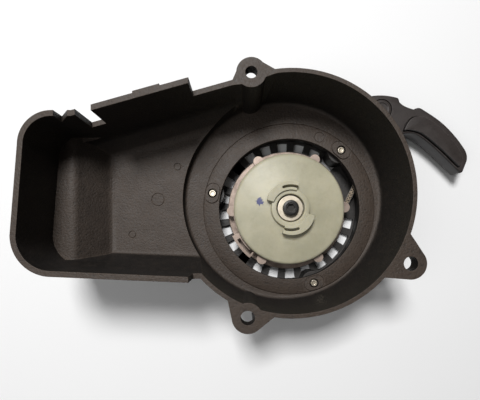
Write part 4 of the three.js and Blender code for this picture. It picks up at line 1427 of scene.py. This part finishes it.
    def build_mainspring(self) -> None:
        """Builds the flat mainspring, wound on edge from the boss to the drum's skirt."""
        inner, outer, turns, thick, low, high = self.mainspring
        steps = int(turns * 72)
        sides = [[polar(inner + (outer - inner) * i / steps + offset, i / steps * turns * 360)
                  for i in range(steps + 1)] for offset in (thick / 2, -thick / 2)]
        strip = prism([*sides[0], *sides[1][::-1]], low, high)
        place(strip.piece("mainspring_strip"), Body.HOUSING, SPRING_STEEL, "mainspring")

    def build(self) -> None:
        """Builds every piece of the cover and sets it on the housing."""
        self.build_cover()
        self.build_screws()
        self.build_eyelet()
        self.build_centre()
        self.build_mainspring()


@dataclass
class Reel:
    """The rope drum with its lug plate, rivets, bush, buffer spring and wound rope."""

    drum: tuple[float, ...] = (33.6, 4.2, 1.4, 21.0, 2.4, 10.6, 1.2, 7.4, 12.6)
    plate: tuple[float, float, float, float] = (30.5, 10.9, 1.5, 7.7)  # radius, low, thickness, bore
    lugs: int = 6
    lug: tuple[float, float, float] = (31.3, 2.8, 2.0)  # circle, radius, first degree
    hook_tab: tuple[float, float, float] = (34.4, 205.5, 231.5)  # radius, from, to
    hook_slot: tuple[float, ...] = (31.2, 33.0, 210.5, 230.0)  # inner, outer, from, to
    hook_foot: Pair = (30.2, 226.0)  # inner, from
    hook_degrees: float = 218.5
    rivet: tuple[float, ...] = (14.5, 1.5, 2.6, 0.32, 30.0)  # circle, shank, head, height, first
    bush: tuple[float, float, float, float] = (4.3, 5.3, 9.4, 18.0)  # inner, outer, low, high
    spring: tuple[float, ...] = (11.4, 25.5, 2.6, 0.8, 13.9)  # inner, outer, turns, wire, height
    coil: tuple[float, float, float, float] = (22.7, 28.6, 8.25, 0.95)  # inner, outer, middle, swing
    coil_turns: int = 5
    coil_overlap: float = 0.12
    coil_step: float = 0.36
    coil_snap: float = 2.5
    coil_settle: Pair = (1.4, 0.4)  # turns before the end, turns taken

    @property
    def rivet_places(self) -> list[Pair]:
        """Plan points of the three rivets."""
        circle, _, _, _, first = self.rivet
        return [polar(circle, first + 120 * i) for i in range(3)]

    def build_drum(self) -> None:
        """Builds the drum: lower flange, core, web and hub."""
        flange_r, low, flange, core_r, core, top, web, hub_r, hub_top = self.drum
        inside = core_r - core
        edge = low + flange
        bore = self.bush[1] + GAP
        profile = [
            (inside, low), (flange_r - 0.5, low), (flange_r, low + 0.5), (flange_r, edge - 0.4),
            (flange_r - 0.4, edge), (core_r + 0.8, edge), (core_r + 0.23, edge + 0.23),
            (core_r, edge + 0.8), (core_r, top - 0.3), (core_r - 0.3, top), (hub_r + 0.5, top),
            (hub_r, top + 0.5), (hub_r, hub_top - 0.3), (hub_r - 0.3, hub_top), (bore + 0.3, hub_top),
            (bore, hub_top - 0.3), (bore, top - web), (inside, top - web),
        ]
        body = revolve(profile, FINE)
        for centre in self.rivet_places:
            body.cut(disc(self.rivet[1] + GAP, top - web - CUT, top + CUT, centre, 24))
        place(body.piece("rope_drum_cast"), Body.REEL, CAST_ALLOY, "rope_drum")

    def build_plate(self) -> None:
        """Builds the lug plate with its six lugs and the hook slot."""
        radius, low, thick, bore = self.plate
        top = low + thick
        circle, lug_r, first = self.lug
        body = disc(radius, low, top, (0, 0), FINE)
        for i in range(self.lugs):
            body.join(disc(lug_r, low, top, polar(circle, first + 60 * i), 40))
        tab_r, tab_from, tab_to = self.hook_tab
        body.join(prism(sector(self.drum[3], tab_r, tab_from, tab_to, 24), low, top))
        body.cut(disc(bore, low - CUT, top + CUT))
        slot_in, slot_out, slot_from, slot_to = self.hook_slot
        foot_in, foot_from = self.hook_foot
        body.cut(prism(sector(slot_in, slot_out, slot_from, slot_to, 16), low - CUT, top + CUT))
        body.cut(prism(sector(foot_in, slot_out, foot_from, slot_to, 8), low - CUT, top + CUT))
        for centre in self.rivet_places:
            body.cut(disc(self.rivet[1] + GAP, low - CUT, top + CUT, centre, 24))
        place(body.piece("lug_plate_pressed"), Body.REEL, CAST_ALLOY, "lug_plate")

    def build_rivets(self) -> None:
        """Builds the three rivets that hold the plate on the drum."""
        _, shank, head, height, _ = self.rivet
        seat = self.plate[1] + self.plate[2] + GAP / 2
        low = self.drum[5] - self.drum[6]
        for i, centre in enumerate(self.rivet_places):
            dome = [(head * math.cos(a), seat + height * math.sin(a)) for a in
                    (math.radians(9 * k) for k in range(11))]
            profile = [(0, low), (shank, low), (shank, seat), *dome[:-1], (0, seat + height)]
            body = revolve(profile, SMALL, centre)
            place(body.piece(f"reel_rivet_{i + 1}_domed"), Body.REEL, STEEL, f"reel_rivet_{i + 1}")

    def build_bush(self) -> None:
        """Builds the sintered bush that the reel and the cam disc turn on."""
        inner, outer, low, high = self.bush
        profile = [(inner + 0.2, low), (outer - 0.3, low), (outer, low + 0.3), (outer, high - 0.3),
                   (outer - 0.3, high), (inner + 0.2, high), (inner, high - 0.2), (inner, low + 0.2)]
        body = revolve(profile, MEDIUM)
        place(body.piece("post_bush_sintered"), Body.REEL, BRONZE, "post_bush")

    def build_spring(self) -> None:
        """Builds the round-wire buffer spring under the cam disc."""
        inner, outer, turns, wire, height = self.spring
        steps = int(turns * 80)
        degrees = self.hook_degrees
        route = []
        for i in range(steps + 1):
            part = i / steps
            x, y = polar(inner + (outer - inner) * part, degrees - (1 - part) * turns * 360)
            route.append(Vector((x, y, height)))
        body = plain_tube(route, wire, 12)
        place(body.piece("buffer_spring_wire"), Body.REEL, SPRING_STEEL, "buffer_spring")

    def build_coil(self) -> None:
        """Builds the rope wound on the drum, turn on turn."""
        inner, outer, middle, swing = self.coil
        leave = ROPE.bearing - 90
        before, taken = self.coil_settle
        total = self.coil_turns + self.coil_overlap
        steps = round(2 * math.pi * (inner + outer) / 2 * total / self.coil_step)
        route = []
        for i in range(steps + 1):
            turn = total * i / steps
            grown = min(1.0, turn / (self.coil_turns - 1))
            radius = inner + (outer - inner) * grown
            zigzag = math.tanh(self.coil_snap * math.sin(math.pi * turn)) / math.tanh(self.coil_snap)
            settle = min(1.0, max(0.0, (turn - (self.coil_turns - before)) / taken))
            height = (middle + swing * zigzag) * (1 - settle) + ROPE.height * settle
            route.append(Vector((*polar(radius, leave + 360 * (turn - self.coil_turns)), height)))
        place(braided_tube("rope_coil", route, ROPE.radius, 14), Body.REEL, CORD, "rope_winding")

    def build(self) -> None:
        """Builds every piece of the reel."""
        self.build_drum()
        self.build_plate()
        self.build_rivets()
        self.build_bush()
        self.build_spring()
        self.build_coil()


def plain_tube(route: Sequence[Vector], radius: float, sides: int) -> Solid:
    """Makes a closed round tube along a route.

    Args:
        route: Points in millimetres.
        radius: The tube's radius.
        sides: Points round it.

    Returns:
        The closed solid.
    """
    mesh = bmesh.new()
    rings = []
    for i, point in enumerate(route):
        tangent = (route[min(i + 1, len(route) - 1)] - route[max(i - 1, 0)]).normalized()
        side = tangent.cross(Vector((0.0, 0.0, 1.0))).normalized()
        up = side.cross(tangent)
        rings.append([mesh.verts.new(point + (side * math.cos(a) + up * math.sin(a)) * radius)
                      for a in (2 * math.pi * k / sides for k in range(sides))])
    skin(mesh, rings)
    mesh.faces.new(rings[0][::-1])
    mesh.faces.new(rings[-1])
    return Solid(mesh)


@dataclass
class CamDisc:
    """The nylon cone with its two spiral arms, which drive the engine's pawls."""

    radius: float = 30.2
    low: float = 12.9
    edge: float = 2.2
    skin: float = 1.7
    cone_top: float = 18.4
    hub_radius: float = 10.2
    hub_top: float = 21.2
    seat: float = 18.4
    seat_radius: float = 7.4
    bore: float = 5.6
    arm_z: Pair = (16.4, 22.4)
    arm_nose: tuple[float, float, float] = (14.4, 0.37, 3.3)  # radius, where in the sweep, fall
    arm_sweep: float = 89.0
    arm_steps: int = 36
    arm_slot: tuple[float, float, float] = (10.9, 12.3, 41.0)  # inner, outer, sweep
    arm_degrees: tuple[float, float] = (72.0, 252.0)
    rim: float = 3.0

    def arm(self, start: float) -> Solid:
        """Makes one arm, a thick crescent with a slot behind its tip and a blunt driving face."""
        nose, peak, fall = self.arm_nose
        low, high = self.arm_z
        parts = [i / self.arm_steps for i in range(self.arm_steps + 1)]
        outer = [polar(nose - fall * (p - peak) ** 2, start + self.arm_sweep * p) for p in parts]
        inner = [polar(self.hub_radius - 0.6, start + self.arm_sweep * p) for p in parts]
        body = prism(rounded([*outer, *inner[::-1]], 0.35, 3), low, high)
        slot_in, slot_out, sweep = self.arm_slot
        middle = (slot_in + slot_out) / 2
        end = start + sweep - math.degrees((slot_out - slot_in) / 2 / middle)
        body.cut(prism(sector(slot_in, slot_out, start - 3, end, 16), self.cone_top, high + CUT))
        return body.cut(disc((slot_out - slot_in) / 2, self.cone_top, high + CUT, polar(middle, end), 24))

    def build(self) -> None:
        """Builds the cam disc."""
        top = self.low + self.edge
        r = self.radius
        inside = r - self.rim
        slope = (self.cone_top - top - 1.2) / (r - 1.6 - self.hub_radius)
        foot = self.hub_radius + 1.2
        profile = [
            (self.bore, self.low), (self.hub_radius, self.low), (self.hub_radius, self.cone_top - self.skin),
            (inside, top), (inside, self.low), (r - 0.6, self.low), (r - 0.18, self.low + 0.18),
            (r, self.low + 0.6), (r, top - 0.2), (r - 0.25, top + 0.45), (r - 0.8, top + 0.95),
            (r - 1.6, top + 1.2), (foot, self.cone_top - slope * 1.2),
            (self.hub_radius + 0.35, self.cone_top + 0.15), (self.hub_radius, self.cone_top + 0.7),
            (self.hub_radius, self.hub_top - 0.5), (self.hub_radius - 0.15, self.hub_top - 0.15),
            (self.hub_radius - 0.5, self.hub_top), (self.seat_radius + 0.4, self.hub_top),
            (self.seat_radius, self.hub_top - 0.4), (self.seat_radius, self.seat),
            (self.bore + 0.3, self.seat), (self.bore, self.seat - 0.3),
        ]
        body = revolve(profile, FINE)
        for start in self.arm_degrees:
            body.join(self.arm(start))
        place(body.piece("cam_disc_moulded"), Body.CAM, NYLON, "cam_disc")


@dataclass
class PullHandle:
    """The hooked handle with its plug, ferrule and knot, and the rope out to it."""

    web: float = 4.6
    grip: float = 6.3
    web_rounding: tuple[float, int] = (1.0, 4)  # width, parts
    grip_rounding: tuple[float, int] = (1.3, 5)
    groove: Pair = (0.6, 1.1)  # width, depth
    pocket: Pair = (5.7, -3.4)  # radius, floor from the rope's line
    plug: float = 1.8
    ferrule: tuple[float, float, float] = (3.1, 6.0, 3.0)  # radius, length, start
    knot_size: float = 0.82
    knot_cord: float = 1.15
    knot_steps: int = 120
    rope_end: float = 4.0
    bore: float = 2.0
    neck_half: float = 5.6
    back: tuple[Pair, ...] = ((60.2, 40.4), (67.5, 42.2), (73.5, 40.1), (83.7, 31.7), (94.2, 21.3))
    front: tuple[Pair, ...] = ((98.2, 33.2), (93.8, 39.4), (87.7, 46.1), (81.6, 51.1), (73.9, 56.1))
    grip_back: tuple[Pair, ...] = ((63.6, 43.4), (67.4, 43.6), (73.9, 41.4), (84.2, 33.0), (93.8, 23.6))
    grip_front: tuple[Pair, ...] = ((95.2, 30.4), (89.6, 38.4), (82.0, 46.0), (75.6, 50.2))
    tip: tuple[tuple[Pair, Pair], ...] = (
        ((96.2, 19.2), (97.2, 21.6)), ((98.6, 25.2), (99.2, 26.8)), ((100.0, 29.8), (98.2, 33.2)))
    hub: tuple[tuple[Pair, Pair], ...] = (
        ((72.0, 57.0), (69.8, 55.6)), ((63.6, 57.2), (61.8, 59.8)), ((61.6, 61.6), (60.6, 62.1)),
        ((51.8, 64.6), (43.0, 62.4)), ((41.4, 61.6), (41.2, 59.8)))
    neck_bend: Pair = (43.6, 50.0)

    @staticmethod
    def bend(start: Pair, control: Pair, end: Pair, steps: int = 8) -> list[Pair]:
        """Gives a quadratic curve's points without its first one."""
        a, b, c = Vector(start), Vector(control), Vector(end)
        points = []
        for i in range(1, steps + 1):
            t = i / steps
            point = a.lerp(b, t).lerp(b.lerp(c, t), t)
            points.append((point.x, point.y))
        return points

    def outline(self) -> list[Pair]:
        """Gives the outline of the web, from the neck round the hook and over the hub."""
        neck = ROPE.beyond(self.ferrule[2])
        left = polar(self.neck_half, ROPE.pull_bearing + 90, neck)
        right = polar(self.neck_half, ROPE.pull_bearing - 90, neck)
        points = [left, *spline([right, *self.back])]
        for control, end in self.tip:
            points += self.bend(points[-1], control, end)
        points += spline(self.front)[1:]
        for control, end in (*self.hub, (self.neck_bend, left)):
            points += self.bend(points[-1], control, end)
        return points[:-1]

    def grip_outline(self) -> list[Pair]:
        """Gives the outline of the thicker grip inside the web."""
        points = spline(self.grip_back)
        points += self.bend(points[-1], (96.4, 25.6), self.grip_front[0])
        points += spline(self.grip_front)[1:]
        points += self.bend(points[-1], (70.4, 52.0), (67.4, 49.6))
        points += self.bend(points[-1], (64.8, 47.0), self.grip_back[0])
        return points[:-1]

    def build_handle(self) -> None:
        """Builds the handle's body, with a groove round the rounded grip."""
        top = ROPE.height + self.web
        low = ROPE.height - self.web
        body = soften(prism(self.outline(), low, top), *self.web_rounding)
        grip = self.grip_outline()
        width, depth = self.groove
        groove = swell(grip, width)
        body.cut(prism(groove, top - depth, top + CUT)).cut(prism(groove, low - CUT, low + depth))
        thick = prism(grip, ROPE.height - self.grip, ROPE.height + self.grip)
        body.join(soften(thick, *self.grip_rounding))
        pocket_r, pocket_floor = self.pocket
        ferrule_r, ferrule_length, start = self.ferrule
        line = (ROPE.mouth, ROPE.pull_bearing, ROPE.height)
        body.cut(level_rod(self.bore, 0, ROPE.reach, *line))
        body.cut(level_rod(ferrule_r + GAP, 0, start + ferrule_length + GAP, *line))
        body.cut(disc(pocket_r, ROPE.height + pocket_floor, top + CUT, ROPE.knot, MEDIUM))
        place(body.piece("pull_handle_moulded"), Body.HANDLE, HANDLE_PLASTIC, "pull_handle")

    def build_plug(self) -> None:
        """Builds the round plug that closes the knot's pocket."""
        top = ROPE.height + self.web
        r = self.pocket[0] - GAP
        body = revolve([(0, top - self.plug), (r, top - self.plug), (r, top - 0.4), (r - 0.12, top - 0.12),
                        (r - 0.4, top), (r - 1.6, top), (r - 1.9, top - 0.35), (0, top - 0.45)],
                       MEDIUM, ROPE.knot)
        place(body.piece("handle_plug_disc"), Body.HANDLE, HANDLE_PLASTIC, "handle_plug")

    def build_ferrule(self) -> None:
        """Builds the steel ferrule in the handle's neck."""
        r, length, start = self.ferrule
        end = start + length
        profile = [(self.bore, start + 0.3), (self.bore + 0.3, start), (r - 0.4, start), (r, start + 0.4),
                   (r, end - 0.3), (r - 0.3, end), (self.bore, end)]
        body = level_turned(profile, ROPE.mouth, ROPE.pull_bearing, ROPE.height, MEDIUM)
        place(body.piece("handle_ferrule_turned"), Body.HANDLE, STEEL, "handle_ferrule")

    def build_knot(self) -> None:
        """Builds the knot that holds the rope in the handle."""
        centre = Vector((*ROPE.knot, ROPE.height - GAP))
        route = []
        for i in range(self.knot_steps + 1):
            t = 2 * math.pi * i / self.knot_steps
            reach = 2 + math.cos(3 * t)
            loop = Vector((reach * math.cos(2 * t), reach * math.sin(2 * t), math.sin(3 * t)))
            route.append(centre + self.knot_size * loop)
        place(braided_tube("rope_knot", route, self.knot_cord, 12), Body.HANDLE, CORD, "handle_knot")

    def build_rope(self) -> None:
        """Builds the rope inside the cover and the rope out to the handle."""
        inside = straight_route(ROPE.start, ROPE.along(ROPE.nose_end + ROPE.lip - GAP), ROPE.height)
        place(braided_tube("rope_inside_cover", inside, ROPE.radius), Body.HOUSING, CORD, "rope_run")
        outside = straight_route(ROPE.mouth, ROPE.beyond(ROPE.reach - self.rope_end), ROPE.height)
        tail = braided_tube("rope_to_handle", outside, ROPE.radius)
        dress(tail, CORD)
        start = Vector((*ROPE.mouth, ROPE.height)) * MM
        end = Vector((*ROPE.beyond(self.ferrule[2] + 1.0), ROPE.height)) * MM
        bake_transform(tail)
        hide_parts("rope_tail")
        LOG.info("%s bends between housing and handle", tail.name)

    def build(self) -> None:
        """Builds the handle, all that is in it, and the rope."""
        self.build_handle()
        self.build_plug()
        self.build_ferrule()
        self.build_knot()
        self.build_rope()


def soften(body: Solid, width: float, segments: int) -> Solid:
    """Rounds a solid's sharp edges for good.

    Args:
        body: The solid.
        width: Width of the rounding, in millimetres.
        segments: Parts in the rounding.

    Returns:
        The same solid.
    """
    step = body.obj.modifiers.new("soften", "BEVEL")
    step.width = width
    step.segments = segments
    step.limit_method = "ANGLE"
    step.angle_limit = math.radians(SHARP)
    step.use_clamp_overlap = True
    graph = bpy.context.evaluated_depsgraph_get()
    data = bpy.data.meshes.new_from_object(body.obj.evaluated_get(graph))
    body.obj.modifiers.clear()
    body.obj.data = data
    return body


def swell(outline: Sequence[Pair], distance: float) -> list[Pair]:
    """Draws an outline outward by a distance."""
    area = sum(a[0] * b[1] - b[0] * a[1] for a, b in zip(outline, [*outline[1:], outline[0]]))
    turn = 1.0 if area > 0 else -1.0
    result = []
    for i, point in enumerate(outline):
        before = outline[i - 1]
        after = outline[(i + 1) % len(outline)]
        run = Vector((after[0] - before[0], after[1] - before[1]))
        if run.length > 1e-6:
            run.normalize()
        result.append((point[0] + turn * run.y * distance, point[1] - turn * run.x * distance))
    return result


# ---- studio ---------------------------------------------------------------------------------


@dataclass
class Studio:
    """The camera, lights and floor."""

    eye: Place = (-26.8, -14.8, 198.0)
    lens: float = 25.1
    shift: Pair = (0.0, 0.075)
    floor_drop: float = 0.3
    floor_size: float = 6000.0
    floor_thick: float = 20.0
    aim: Place = (-20.0, 5.0, 20.0)
    key_light: tuple[Place, float, float] = ((-140.0, 380.0, 820.0), 0.24, 8.2)  # place, size, power
    fill_light: tuple[Place, float, float] = ((-420.0, -160.0, 700.0), 0.5, 1.3)
    sky: float = 0.07

    def build_camera(self) -> None:
        """Sets a camera that looks straight down into the open side."""
        data = bpy.data.cameras.new("camera")
        data.lens = self.lens
        data.sensor_width = 36.0
        data.shift_x, data.shift_y = self.shift
        data.clip_start = 0.01
        data.clip_end = 20.0
        camera = bpy.data.objects.new("camera", data)
        camera.location = Vector(self.eye) * MM
        bpy.context.scene.collection.objects.link(camera)
        bpy.context.scene.camera = camera

    def add_light(self, name: str, where: Place, size: float, power: float) -> None:
        """Adds a soft square light that faces the part.

        Args:
            name: Its name.
            where: Where it hangs, in millimetres.
            size: Its side, in metres.
            power: Its power, in watts.
        """
        data = bpy.data.lights.new(name, "AREA")
        data.size = size
        data.energy = power
        lamp = bpy.data.objects.new(name, data)
        lamp.location = Vector(where) * MM
        lamp.rotation_euler = (Vector(self.aim) - Vector(where)).to_track_quat("-Z", "Y").to_euler()
        bpy.context.scene.collection.objects.link(lamp)

    def build(self) -> None:
        """Builds the studio."""
        self.build_camera()
        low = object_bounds()[0][2] / MM - self.floor_drop
        half = self.floor_size / 2
        floor = block((-half, half), (-half, half), (low - self.floor_thick, low)).piece("studio_floor")
        dress(floor, FLOOR_FINISH)
        floor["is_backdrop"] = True
        self.add_light("key", *self.key_light)
        self.add_light("fill", *self.fill_light)
        world = bpy.data.worlds.new("studio")
        world.use_nodes = True
        background = world.node_tree.nodes["Background"]
        background.inputs["Color"].default_value = (1.0, 1.0, 1.0, 1.0)
        background.inputs["Strength"].default_value = self.sky
        bpy.context.scene.world = world
        bpy.context.scene.view_settings.view_transform = "Standard"


def main() -> None:
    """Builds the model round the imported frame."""
    logging.basicConfig(level=logging.INFO, format="%(name)s: %(message)s")
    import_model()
    for assembly in (Studio(), FanShroud(), StarterCover(), Reel(), CamDisc(), PullHandle()):
        assembly.build()


if __name__ == "__main__":
    main()
